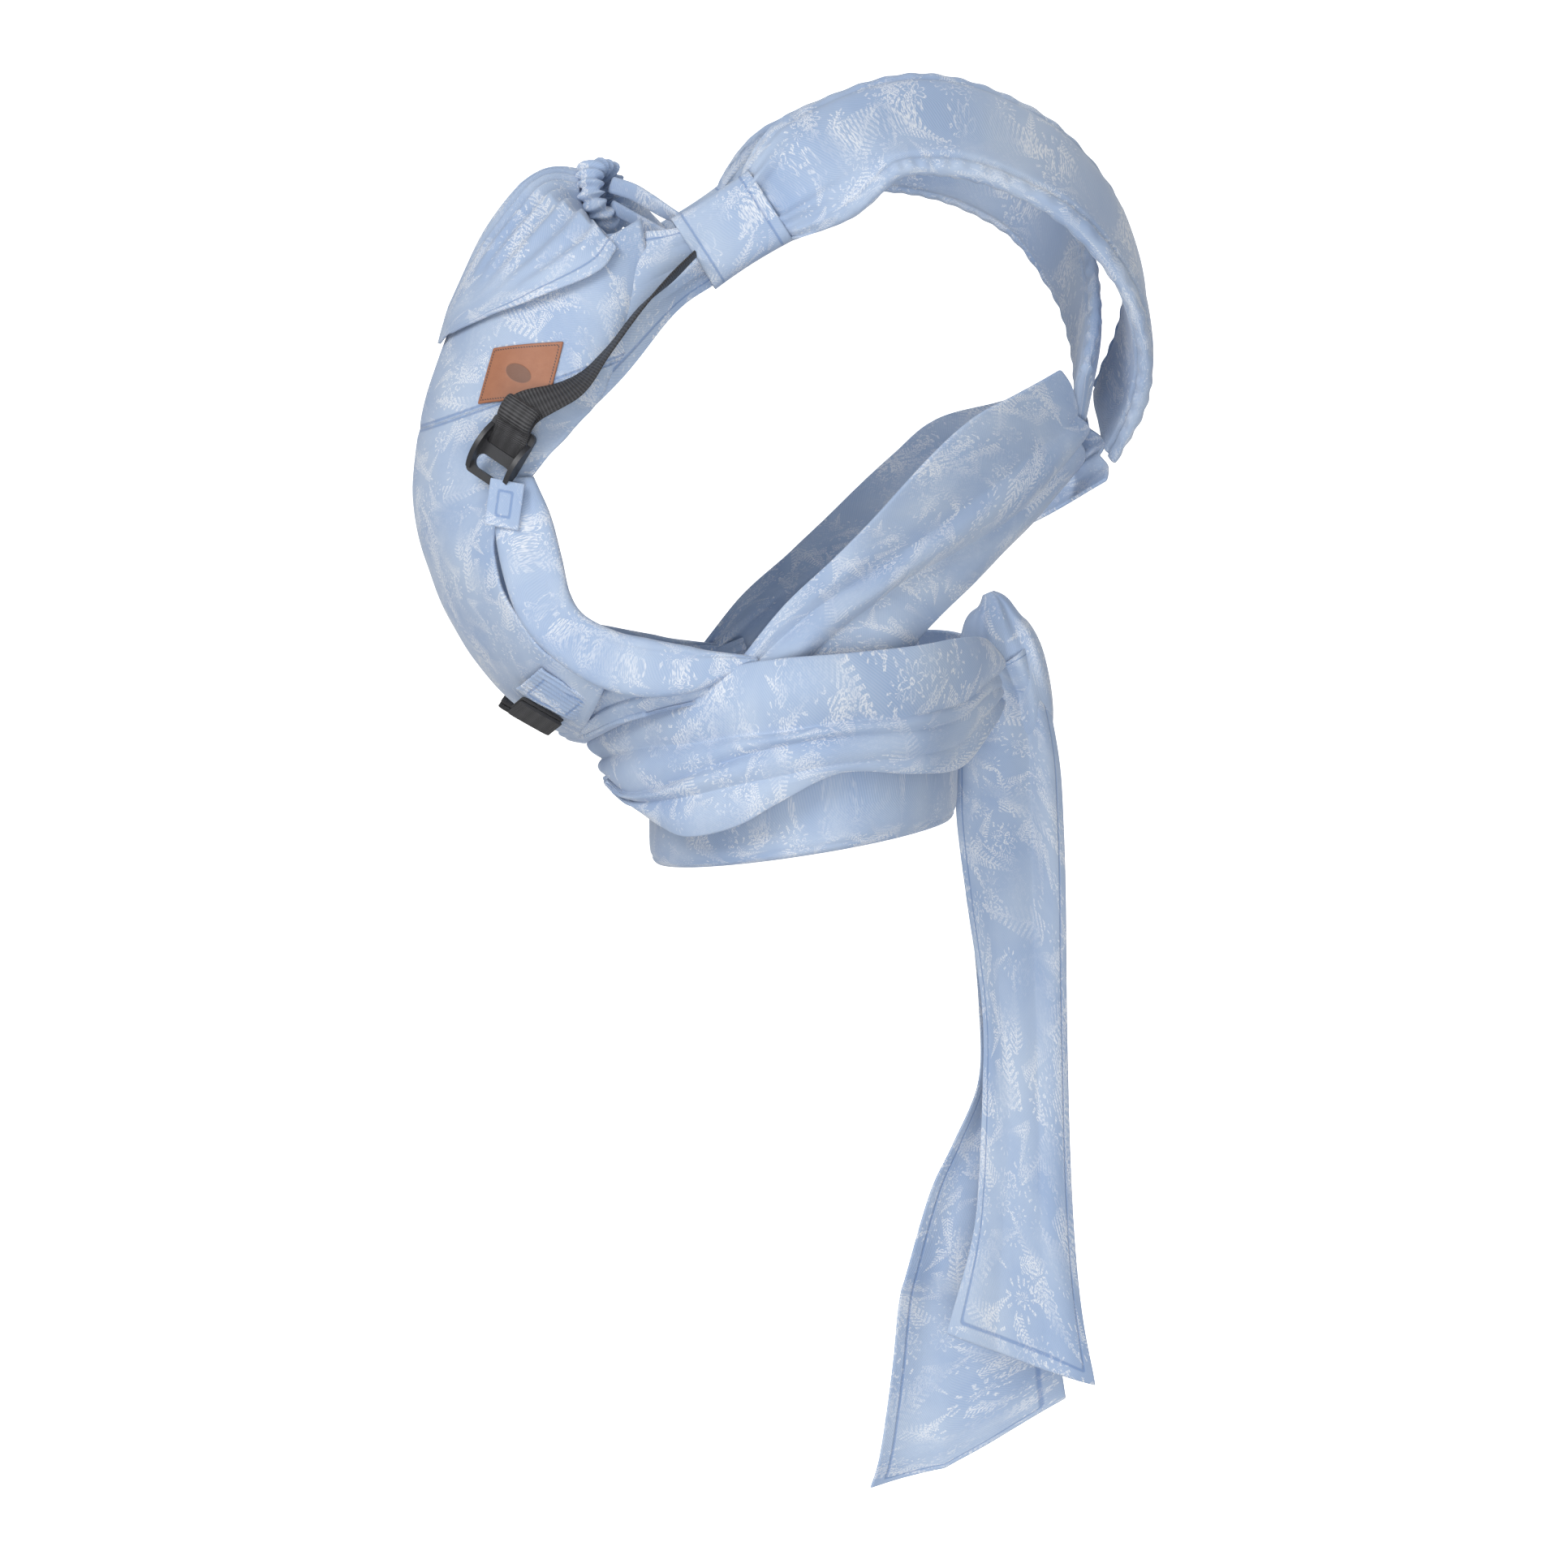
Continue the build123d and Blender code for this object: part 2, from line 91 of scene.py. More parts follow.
def area_light(name, place, size, power):
    """A soft square lamp aimed at the middle of the carrier."""
    lamp = bpy.data.objects.new(name, bpy.data.lights.new(name, "AREA"))
    lamp.data.size = size
    lamp.data.energy = power
    lamp.location = place
    lamp.rotation_euler = (VIEW_TARGET - Vector(place)).to_track_quat("-Z", "Y").to_euler()
    bpy.context.collection.objects.link(lamp)


area_light("key", (2.0, -2.0, 1.4), 1.6, 52)
area_light("fill", (2.7, -0.3, -1.1), 2.0, 42)
area_light("back", (-1.8, 1.2, 1.6), 2.0, 14)
world = bpy.data.worlds.new("studio")
world.use_nodes = True
world.node_tree.nodes["Background"].inputs["Color"].default_value = (1, 1, 1, 1)
world.node_tree.nodes["Background"].inputs["Strength"].default_value = 0.50
bpy.context.scene.world = world
print("lamps:", ", ".join(lamp.name for lamp in bpy.data.lights))

# a round paper backdrop: its floor curves up into the wall all round, so it has no edge
ROOM_RADIUS, ROOM_CURVE, ROOM_TALL = 8.0, 3.0, 12.0
backdrop_mesh = bpy.data.meshes.new("backdrop")
bm = bmesh.new()
profile = [(0.0, 0.0), (ROOM_RADIUS - ROOM_CURVE, 0.0)]
profile += [(ROOM_RADIUS - ROOM_CURVE * (1 - sin(radians(t))), ROOM_CURVE * (1 - cos(radians(t))))
            for t in range(15, 91, 15)] + [(ROOM_RADIUS, ROOM_TALL)]
ring = [bm.verts.new((x, 0, cad_box[0][2] - FLOOR_GAP + z)) for x, z in profile]
edges = [bm.edges.new(pair) for pair in zip(ring, ring[1:])]
bmesh.ops.spin(bm, geom=ring + edges, cent=(0, 0, 0), axis=(0, 0, 1), angle=2 * pi, steps=48,
               use_merge=True)
bm.to_mesh(backdrop_mesh)
bm.free()
backdrop_mesh.shade_smooth()
backdrop = bpy.data.objects.new("backdrop", backdrop_mesh)
bpy.context.collection.objects.link(backdrop)
paper = bpy.data.materials.new("white backdrop paper")
paper.use_nodes = True
paper_shader = paper.node_tree.nodes["Principled BSDF"]
paper_shader.inputs["Base Color"].default_value = (0.93, 0.93, 0.93, 1)
paper_shader.inputs["Roughness"].default_value = 0.9
paper_shader.inputs["Specular IOR Level"].default_value = 0.1
paper_shader.inputs["Emission Color"].default_value = (1, 1, 1, 1)
paper_shader.inputs["Emission Strength"].default_value = 1.0
backdrop_mesh.materials.append(paper)
for lit_by_it in ("visible_diffuse", "visible_glossy", "visible_shadow"):
    setattr(backdrop, lit_by_it, False)         # it is only a background: the lights do the work

# %% [markdown]
# ## Colours and nodes
# Every colour is written as it would be picked on a screen, and one function turns it into the
# linear numbers that the renderer works in. One function adds a node: its kind, what goes into
# its sockets in order, and its settings.


# %% Colour and node helpers
def colour(code):
    """A screen colour such as '8FB0DC' as linear red, green, blue and 1."""
    values = [int(code[i:i + 2], 16) / 255 for i in (0, 2, 4)]
    return [v / 12.92 if v <= 0.04045 else ((v + 0.055) / 1.055) ** 2.4 for v in values] + [1.0]


def add(tree, kind, *links, **settings):
    """One node: what goes into its sockets, in order, and its settings. Gives its outputs.

    The kind may be followed by an operation, as in "Math ADD".
    """
    kind, _, operation = kind.partition(" ")
    node = tree.nodes.new("ShaderNode" + kind)
    if operation:
        node.operation = operation
    for key, value in settings.items():
        setattr(node, key, value)
    for socket, link in zip(node.inputs, links):
        if isinstance(link, bpy.types.NodeSocket):
            tree.links.new(link, socket)
        elif link is not None:
            socket.default_value = link
    return node.outputs


def new_material(name, rough, **surface):
    """A material with a Principled surface, and the tree and surface to build on."""
    material = bpy.data.materials.new(name)
    material.use_nodes = True
    tree = material.node_tree
    shader = tree.nodes["Principled BSDF"]
    shader.inputs["Roughness"].default_value = rough
    for key, value in surface.items():
        shader.inputs[key.replace("_", " ")].default_value = value
    return material, tree, shader


print("paper white is", colour("FFFFFF"), "and mid grey is", colour("808080"))

# %% [markdown]
# ## The wrap cloth
# Wrap cloth is a fine twill woven on a jacquard loom: a blue warp with a paler weft that floats
# up to draw ferns, flower heads and daisies a few centimetres tall. Each plant lives in one
# cell of a Voronoi texture, turned by the cell's own random number. The pale weft is broken up
# by the twill, so the lines look stitched and not printed.

# %% Wrap cloth
CLOTH_BLUE = colour("8FA5C6")
CLOTH_SHADE = colour("A5B6CE")
WEFT_PALE = colour("DDE0E5")
THREAD_BLUE = colour("5F7DAE")
TWILL_MM = 1.6                  # real ribs are 0.6 mm apart, too fine to show


def plants(tree, cloth, cell_mm, kind, shift):
    """A pale drawing of one kind of plant in each cell: 1 on the weft's lines, 0 off them."""
    moved = add(tree, "VectorMath ADD", cloth, shift)[0]
    cells = add(tree, "TexVoronoi", moved, voronoi_dimensions="2D")
    scale = next(s for s in cells["Distance"].node.inputs if s.name == "Scale")
    scale.default_value = 1000.0 / cell_mm
    local = add(tree, "VectorMath SUBTRACT", moved, cells["Position"])[0]
    local = add(tree, "VectorMath MULTIPLY", local, (1000.0 / cell_mm,) * 3)[0]
    tint = add(tree, "SeparateColor", cells["Color"])
    turn = add(tree, "Math MULTIPLY", tint[0], 2 * pi)[0]
    local = add(tree, "VectorRotate", local, (0, 0, 0), (0, 0, 1), turn)[0]
    xyz = add(tree, "SeparateXYZ", local)
    x, y = xyz[0], xyz[1]
    side = add(tree, "Math ABSOLUTE", x)[0]
    if kind == "fern":
        bend = add(tree, "Math MULTIPLY", y, 3.0)[0]
        bend = add(tree, "Math SINE", bend)[0]
        bend = add(tree, "Math MULTIPLY", bend, 0.06)[0]
        side = add(tree, "Math ABSOLUTE", add(tree, "Math SUBTRACT", x, bend)[0])[0]
        lift = add(tree, "Math MULTIPLY", side, 0.7)[0]
        row = add(tree, "Math MULTIPLY", add(tree, "Math SUBTRACT", y, lift)[0], 15.0)[0]
        row = add(tree, "Math SUBTRACT", add(tree, "Math FRACT", row)[0], 0.5)[0]
        row = add(tree, "Math ABSOLUTE", row)[0]
        leaf = add(tree, "Math LESS_THAN", row, 0.27)[0]
        reach = add(tree, "MapRange", y, -0.42, 0.42, 0.17, 0.01)[0]
        inside = add(tree, "Math LESS_THAN", side, reach)[0]
        leaf = add(tree, "Math MULTIPLY", leaf, inside)[0]
        stem = add(tree, "Math LESS_THAN", side, 0.014)[0]
        drawn = add(tree, "Math MAXIMUM", leaf, stem)[0]
        tall = add(tree, "Math ABSOLUTE", y)[0]
        tall = add(tree, "Math LESS_THAN", tall, 0.42)[0]
        return add(tree, "Math MULTIPLY", drawn, tall)[0]
    radius = add(tree, "VectorMath LENGTH", local)[1]
    angle = add(tree, "Math ARCTAN2", y, x)[0]
    count = 9.0 if kind == "umbel" else 4.0
    petals = add(tree, "Math COSINE", add(tree, "Math MULTIPLY", angle, count)[0])[0]
    if kind == "umbel":
        ray = add(tree, "Math GREATER_THAN", petals, 0.72)[0]
        ring = add(tree, "Math SINE", add(tree, "Math MULTIPLY", radius, 34.0)[0])[0]
        tips = add(tree, "Math GREATER_THAN", ring, -0.2)[0]
        ray = add(tree, "Math MULTIPLY", ray, tips)[0]
        inside = add(tree, "Math LESS_THAN", radius, 0.30)[0]
        return add(tree, "Math MULTIPLY", ray, inside)[0]
    edge = add(tree, "Math MULTIPLY", add(tree, "Math ABSOLUTE", petals)[0], 0.15)[0]
    edge = add(tree, "Math ADD", edge, 0.09)[0]
    line = add(tree, "Math ABSOLUTE", add(tree, "Math SUBTRACT", radius, edge)[0])[0]
    line = add(tree, "Math LESS_THAN", line, 0.022)[0]
    heart = add(tree, "Math LESS_THAN", radius, 0.05)[0]
    return add(tree, "Math MAXIMUM", line, heart)[0]


def wrap_cloth(name):
    """Blue jacquard twill with pale plants, and thread where a piece is hemmed or seamed."""
    material, tree, shader = new_material(name, 0.72, Sheen_Weight=0.25, Sheen_Roughness=0.4)
    shader.inputs["Specular IOR Level"].default_value = 0.25
    cloth = add(tree, "UVMap", uv_map="cloth")[0]
    drawn = plants(tree, cloth, 46, "fern", (0.3, 0.1, 0))
    for cell, kind, shift in ((34, "umbel", (0.7, 0.2, 0)), (30, "daisy", (0.1, 0.9, 0)),
                              (62, "fern", (1.3, 0.5, 0)), (27, "fern", (2.3, 1.5, 0)),
                              (22, "umbel", (3.1, 0.4, 0))):
        layer = plants(tree, cloth, cell, kind, shift)
        drawn = add(tree, "Math MAXIMUM", drawn, layer)[0]
    patchy = add(tree, "TexNoise", cloth, None, 26.0, 2.0)[0]
    patchy = add(tree, "MapRange", patchy, 0.40, 0.54, 0.15, 1.0)[0]
    grain = add(tree, "TexNoise", cloth, None, 1100.0, 1.0)[0]
    grain = add(tree, "MapRange", grain, 0.40, 0.56, 0.1, 1.0)[0]
    drawn = add(tree, "Math MULTIPLY", drawn, grain)[0]
    drawn = add(tree, "Math MULTIPLY", drawn, patchy)[0]
    drawn = add(tree, "Math MULTIPLY", drawn, 0.8)[0]
    slow = add(tree, "TexNoise", cloth, None, 17.0, 4.0)[0]
    slow = add(tree, "MapRange", slow, 0.36, 0.62, 0.0, 1.0)[0]
    base = add(tree, "MixRGB", slow, CLOTH_BLUE, CLOTH_SHADE)[0]
    twill = add(tree, "VectorRotate", cloth, (0, 0, 0), (0, 0, 1), radians(32))[0]
    ribs = add(tree, "TexWave", twill, 1000.0 / TWILL_MM / 2, 0.4)[1]
    tinted = add(tree, "MapRange", ribs, 0.0, 1.0, 0.0, 0.12)[0]
    base = add(tree, "MixRGB", tinted, base, WEFT_PALE)[0]
    base = add(tree, "MixRGB", drawn, base, WEFT_PALE)[0]
    hem = add(tree, "Attribute", attribute_name="hem")[2]
    near = add(tree, "Math ABSOLUTE", add(tree, "Math SUBTRACT", hem, 0.007)[0])[0]
    line = add(tree, "MapRange", near, 0.0004, 0.0011, 1.0, 0.0)[0]
    base = add(tree, "MixRGB", add(tree, "Math MULTIPLY", line, 0.55)[0], base, THREAD_BLUE)[0]
    tree.links.new(base, shader.inputs["Base Color"])
    height = add(tree, "Math MULTIPLY", ribs, 0.4)[0]
    height = add(tree, "Math ADD", height, add(tree, "Math MULTIPLY", drawn, 0.5)[0])[0]
    height = add(tree, "Math SUBTRACT", height, add(tree, "Math MULTIPLY", line, 3.0)[0])[0]
    wrinkle = add(tree, "TexNoise", cloth, None, 45.0, 4.0, 0.55)[0]
    height = add(tree, "Math ADD", height, add(tree, "Math MULTIPLY", wrinkle, 5.0)[0])[0]
    bump = add(tree, "Bump", 0.35, 0.0005, None, height)[0]
    tree.links.new(bump, shader.inputs["Normal"])
    return material


cloth_material = wrap_cloth("blue jacquard wrap cloth")
print("cloth nodes:", len(cloth_material.node_tree.nodes))

# %% [markdown]
# ## How the cloth pieces are made
# A garment is easiest to describe by its lines: the edges, and the creases where it folds. Each
# line is a smooth curve through a few points, and the cloth bulges outwards between one line
# and the next. A flat grid is made first, and each of its points then goes to its place. The
# cloth's own width and length in metres become its UV map, so the woven pattern keeps its size.


# %% Curves
def spline(points, t):
    """A smooth curve through the points, from t = 0 to t = 1 (Catmull-Rom)."""
    last = len(points) - 1
    s = min(max(t, 0.0), 1.0) * last
    i = min(int(s), last - 1)
    f = s - i
    b, c = points[i], points[i + 1]
    a = points[i - 1] if i > 0 else b * 2 - c
    d = points[i + 2] if i + 2 <= last else c * 2 - b
    return (b * 2 + (c - a) * f + (a * 2 - b * 5 + c * 4 - d) * f * f
            + (b * 3 - c * 3 + d - a) * f ** 3) * 0.5


def mm(*rows):
    """Points written in millimetres, as vectors in metres."""
    return [Vector(row) * MM for row in rows]


def on_side(points, side):
    """Points of the wearer's left (side 1), or their mirror image on the right (side -1)."""
    return [Vector((p.x * side, p.y, p.z)) for p in points]


def rows_on_side(rows, side):
    """A strap's stations on the wearer's left (side 1) or right (side -1)."""
    return [((m[0] * side, m[1], m[2]), (a[0] * side, a[1], a[2]), w, t) for m, a, w, t in rows]


def soft_noise(point, scale, seed=0.0):
    """Smooth noise of about -1 to 1, with lumps of the given size in metres."""
    return noise.noise(Vector(point) / scale + Vector((seed, seed * 1.7, -seed)))


print("middle of a short bow:", spline(mm((0, 0, 0), (10, 5, 0), (20, 0, 0)), 0.5))


# %% Grids
def finish_mesh(bm, name, material):
    """Turn a bmesh into an object with its material, shaded smooth."""
    mesh = bpy.data.meshes.new(name)
    bm.to_mesh(mesh)
    bm.free()
    mesh.materials.append(material)
    mesh.shade_smooth()
    obj = bpy.data.objects.new(name, mesh)
    bpy.context.collection.objects.link(obj)
    return obj


def grid(name, place, along, across, material, tube=False, hems="uw", facing=None):
    """A grid of cloth. place(u, w) gives each point, u along and w across, both 0 to 1."""
    bm = bmesh.new()
    bmesh.ops.create_grid(bm, x_segments=across, y_segments=along, size=0.5)
    cloth = bm.loops.layers.uv.new("cloth")
    hem = bm.verts.layers.float.new("hem")
    params = {v: (v.co.y + 0.5, v.co.x + 0.5) for v in bm.verts}
    for v, (u, w) in params.items():
        v.co = place(u, w)
    bm.verts.index_update()
    length = sum((place(i / 20, 0.5) - place((i + 1) / 20, 0.5)).length for i in range(20))
    width = sum((place(0.5, i / 20) - place(0.5, (i + 1) / 20)).length for i in range(20))
    for v, (u, w) in params.items():
        reach = [1.0]
        if "u" in hems:
            reach += [u * length, (1 - u) * length]
        if "w" in hems:
            reach += [w * width, (1 - w) * width]
        v[hem] = min(reach)
    for face in bm.faces:
        for loop in face.loops:
            u, w = params[loop.vert]
            loop[cloth].uv = (w * width, u * length)
    if tube:
        bmesh.ops.remove_doubles(bm, verts=bm.verts, dist=0.00001)
    bm.normal_update()
    if facing:                      # turn the cloth's right side outwards
        if sum(face.normal.dot(facing(face.calc_center_median())) for face in bm.faces) < 0:
            bmesh.ops.reverse_faces(bm, faces=bm.faces)
    obj = finish_mesh(bm, name, material)
    obj["flat"] = (width, length)
    return obj


def lobed(lines, out, bulge, soft=0.75):
    """Cloth between crease lines: a place() that bulges outwards between one and the next."""
    gaps = len(lines) - 1

    def place(u, w):
        k = min(int(w * gaps), gaps - 1)
        t = w * gaps - k
        near, far = spline(lines[k], u), spline(lines[k + 1], u)
        point = near.lerp(far, t)
        lift = bulge[k](u) if callable(bulge[k]) else bulge[k]
        return point + out(point) * (lift * MM * sin(pi * t) ** soft)
    return place


def thicken(obj, thick_mm, offset=-1.0, levels=1):
    """Give cloth its thickness, and round it with a subdivision surface."""
    solid = obj.modifiers.new("cloth thickness", "SOLIDIFY")
    solid.thickness = thick_mm * MM
    solid.offset = offset
    if levels:
        rounded = obj.modifiers.new("soft surface", "SUBSURF")
        rounded.levels = levels
        rounded.render_levels = levels


def belongs(obj, body, *nodes, slot="wrap_cloth"):
    """Say where a piece rides, and the solids that it stands for. The slot is not used.

    A body is a name, or the two bodies, start and end that a bending piece would go between; such a
    piece is only baked in place and does not bend.
    """
    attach(obj, body) if isinstance(body, str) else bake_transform(obj)
    if nodes:
        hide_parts(*nodes)
    print(obj.name, "is for", body, "with", len(obj.data.polygons), "faces")


def declare(obj, body, nodes):
    """A piece that is a sheet of cloth: where it belongs. Its cut size is worked out but not kept.
    """
    belongs(obj, body, *nodes)
    area = sum(face.area for face in obj.data.polygons)
    width, length = obj["flat"]
    width = max(width, area / length)               # a piece that is wider away from its middle


# %% [markdown]
# ## Padded straps
# A padded strap is a closed tube with a flat, rounded section. Its stations say where its middle
# runs, which way lies across it, and how wide and thick it is there.


# %% Tubes
def rounded(value, power):
    """A sine or cosine made squarer (a low power) or slimmer, with its sign kept."""
    return abs(value) ** power * (1 if value >= 0 else -1)


def close_ends(obj):
    """Fill both open ends of a tube, and turn all its faces outwards."""
    bm = bmesh.new()
    bm.from_mesh(obj.data)
    bmesh.ops.holes_fill(bm, edges=[e for e in bm.edges if e.is_boundary], sides=0)
    bmesh.ops.recalc_face_normals(bm, faces=bm.faces)
    bm.to_mesh(obj.data)
    bm.free()
    obj.data.shade_smooth()


def tube(name, stations, along, around, material, square=0.5, shape=None):
    """A closed strap through stations of (middle, across, width, thickness) in millimetres."""
    middles = mm(*[s[0] for s in stations])
    acrosses = [Vector(s[1]).normalized() for s in stations]
    sizes = [Vector((s[2], s[3], 0)) * MM for s in stations]

    def frame_at(u):
        step = 0.01
        ahead, behind = spline(middles, min(u + step, 1)), spline(middles, max(u - step, 0))
        heading = (ahead - behind).normalized()
        wide = spline(acrosses, u)
        wide = (wide - heading * wide.dot(heading)).normalized()
        return spline(middles, u), heading, wide, heading.cross(wide), spline(sizes, u)

    def place(u, w):
        middle, heading, wide, thin, size = frame_at(u)
        turn = 2 * pi * w
        a = rounded(cos(turn), square)
        b = rounded(sin(turn), 0.8)
        point = middle + wide * a * size.x / 2 + thin * b * size.y / 2
        if shape:
            point += shape(u, a, b, wide, thin, heading)
        return point

    obj = grid(name, place, along, around, material, tube=True, hems="")
    close_ends(obj)
    return obj


# %% [markdown]
# ## The body panel
# The panel wraps round the baby's back like a barrel: each slice across it is an arc from one
# side edge, over the baby's spine, to the other. It is cut along the sloping cross seam, because
# the upper part is a piece of its own.

# %% Panel arches
BABY = Vector((0, -155, -209.5)) * MM
# angle round the baby, reach of the crown, reach of the side edges, half the width between them
ARCHES = [Vector(a) for a in ((98, 198, 100, 88), (112, 196, 77, 95), (128, 180, 66, 97),
                              (144, 164, 60, 98), (160, 159, 64, 99), (176, 161, 76, 100),
                              (190, 166, 97, 99), (202, 170, 124, 95), (214, 174, 138, 99),
                              (228, 181, 147, 107), (240, 189, 152, 113), (252, 194, 153, 119))]


def spline4(rows, t):
    """The same smooth curve through rows of four numbers."""
    first = spline([Vector(r[:3]) for r in rows], t)
    last = spline([Vector((r[3], 0, 0)) for r in rows], t)
    return (first.x, first.y, first.z, last.x)


def arch_point(station, w, out_mm=0.0):
    """A point on an arch: w = 0 at its left foot, 1 at its right foot."""
    angle, crown, edge, half = station
    rise = crown - edge
    radius = (half ** 2 + rise ** 2) / (2 * rise)
    hub = crown - radius
    end = atan2(edge - hub, half)
    turn = end + (pi - 2 * end) * w
    reach = hub + (radius + out_mm) * sin(turn)
    a = radians(angle)
    return BABY + Vector(((radius + out_mm) * cos(turn), reach * cos(a), reach * sin(a))) * MM


def from_baby(point):
    """Outwards from the baby's body."""
    return (point - BABY).normalized()


def panel_place(u, w):
    station = spline4(ARCHES, u)
    point = arch_point(station, w)
    angle = radians(station[0])
    outward = (point - BABY - Vector((0, cos(angle), sin(angle))) * 0.05).normalized()
    drape = 1.6 * soft_noise(point, 0.075, 3.0) + 0.8 * soft_noise(point, 0.03, 9.0)
    edge_pull = 1.0 * exp(-min(w, 1 - w) / 0.03) * sin(u * 60)
    return point + outward * (drape + edge_pull) * MM


SEAM_POINT = Vector((0, -312.4, -192.4)) * MM
SEAM_NORMAL = Vector((0, -sin(radians(19.8)), cos(radians(19.8))))
TOP_POINT = Vector((0, -297, -132)) * MM            # the hood covers the panel's top edge
TOP_NORMAL = Vector((0, -sin(radians(31)), cos(radians(31))))


def cut(obj, point, normal, keep_above):
    """Cut a mesh along a plane and keep one side of it."""
    bm = bmesh.new()
    bm.from_mesh(obj.data)
    bmesh.ops.bisect_plane(bm, geom=bm.verts[:] + bm.edges[:] + bm.faces[:], dist=1e-6,
                           plane_co=point, plane_no=normal, clear_inner=keep_above,
                           clear_outer=not keep_above)
    bm.to_mesh(obj.data)
    bm.free()
    obj.data.shade_smooth()


def tree_of(obj):
    """A search tree of a mesh's faces, to lay other pieces on it."""
    bm = bmesh.new()
    bm.from_mesh(obj.data)
    found = BVHTree.FromBMesh(bm)
    bm.free()
    return found


for name, above in (("lower_panel", False), ("upper_panel", True)):
    piece = grid(name + "_cloth", panel_place, 110, 100, cloth_material, hems="", facing=from_baby)
    panel_tree = tree_of(piece)
    cut(piece, SEAM_POINT, SEAM_NORMAL, above)
    if above:
        cut(piece, TOP_POINT, TOP_NORMAL, False)
    hem = piece.data.attributes["hem"].data
    for v in piece.data.vertices:
        seam = abs((v.co - SEAM_POINT).dot(SEAM_NORMAL))
        hem[v.index].value = seam + 0.0055
        if seam < 0.004:
            v.co += Vector((0, 0.0008, 0)) * (1 - seam / 0.004)
    across = piece["flat"][0]
    piece["flat"] = (across, sum(face.area for face in piece.data.polygons) / across)
    thicken(piece, 2.2, levels=0)
    declare(piece, "carrier", [name])

# %% [markdown]
# ## The hood
# The hood is one piece of cloth. Its hem runs over the baby's head and down both sides, and its
# top is drawn together on a cord, so that pleats fan out from a small ruffle.

# %% Hood
RING_MIDDLE = Vector((2, -197, -43)) * MM
RING_FACING = Vector((0.50, 0.83, 0.24)).normalized()
RING_SIDE = RING_FACING.cross(Vector((0, 0, 1))).normalized()
RING_UP = RING_SIDE.cross(RING_FACING)
RING_RADIUS = 18.5 * MM
PLEATS = 17


def ring_point(turn, radius, forward=0.0):
    """A point of the ruffle: turn = 0 at the left, a quarter turn later at the top."""
    return (RING_MIDDLE + RING_SIDE * radius * cos(turn) + RING_UP * radius * sin(turn)
            + RING_FACING * forward)


# how far from the baby's middle the hem runs, at each angle from the tip to the ear
HEM = [Vector(h) for h in ((151, 157, 0), (147, 150, 0), (142, 142, 0), (134, 131, 0),
                           (122, 124, 0), (112, 125, 0), (106, 134, 0))]
TOP = 0.78                      # from here on the cloth is drawn in towards the ruffle


def hood_arch(angle, edge, w, out_mm):
    """A point across the hood: like the panel's arch there, but ending at the hem."""
    _, crown, panel_edge, half = spline4(ARCHES, find_u(angle))
    rise = crown - panel_edge
    radius = (half ** 2 + rise ** 2) / (2 * rise)
    hub = crown - radius
    width = sqrt(max(radius ** 2 - (edge - hub) ** 2, 25.0))
    end = atan2(edge - hub, width)
    turn = end + (pi - 2 * end) * w
    reach = hub + (radius + out_mm) * sin(turn)
    a = radians(angle)
    return BABY + Vector(((radius + out_mm) * cos(turn), reach * cos(a), reach * sin(a))) * MM


def hood_place(u, w):
    side = abs(2 * w - 1)
    k = min(u / TOP, 1.0)
    angle, edge, _ = spline(HEM, k)
    last = 118 - 12 * side ** 2                     # the crown turns down sooner than the sides
    angle = 155 - (155 - angle) * (155 - last) / 49
    angle += 2.0 * (1 - side ** 2) ** 2 * (1 - k) ** 5   # the hem hangs lowest in the middle
    point = hood_arch(angle, edge, w, 3.2 + 2.8 * min(1.0, 3 * k))
    drawn = min(max((142 - angle) / (142 - 106), 0.0), 1.0)
    drawn = drawn * drawn * (3 - 2 * drawn)
    inner = min(max((0.9 - side) / 0.5, 0.0), 1.0)
    point.x *= 1 - 0.52 * drawn * inner * inner * (3 - 2 * inner)   # narrower towards the ruffle
    pleat = sin(w * 2 * pi * PLEATS + 0.8 * sin(w * 9))
    fold = 1.6 * soft_noise(point, 0.045, 5.0) + 2.4 * pleat * drawn ** 0.9 * (1 - side ** 8)
    point += from_baby(point) * fold * MM
    if u <= TOP:
        return point
    f = (u - TOP) / (1 - TOP)
    turn = -pi / 2 + 2 * pi * (w * 0.94 + 0.03)
    rim = point.lerp(ring_point(turn, RING_RADIUS, -0.004), f)
    rim += Vector((0, -0.3, 0.9)) * sin(pi * f) * 0.006 * (1 - side)
    return rim + from_baby(rim) * pleat * 1.2 * f * (1 - f) * 4 * MM


def find_u(angle):
    """Where along the arches an angle lies (their angles grow steadily)."""
    for i in range(len(ARCHES) - 1):
        a, b = ARCHES[i][0], ARCHES[i + 1][0]
        if a <= angle <= b:
            return (i + (angle - a) / (b - a)) / (len(ARCHES) - 1)
    return 0.0


hood = grid("hood_cloth", hood_place, 100, 200, cloth_material, hems="w", facing=from_baby)
thicken(hood, 1.8, levels=0)
# the hem stays sewn to the panel; the bend points for the hood are given, but the piece is only
# baked in place
hood_bend = ("carrier", "hood", (0, -0.3035, -0.1455), (0, -0.3162, -0.1240))
declare(hood, hood_bend, ["hood"])


def ruffle_place(u, w):
    turn, around = 2 * pi * w, 2 * pi * u
    uneven = soft_noise((cos(turn), sin(turn), 0.3 * sin(around)), 0.45, 2.0)
    crease = cos(turn * PLEATS + 2.5 * uneven + 1.2 * sin(around))
    fat = (5.0 + 1.3 * crease + 1.8 * uneven) * MM
    radius = RING_RADIUS + 1.6 * MM * uneven + fat * cos(around)
    return ring_point(turn, radius, 0.004 + fat * 1.5 * sin(around))


ruffle = grid("hood_ruffle", ruffle_place, 20, 220, cloth_material, tube=True, hems="")
belongs(ruffle, "hood", "hood_ring")


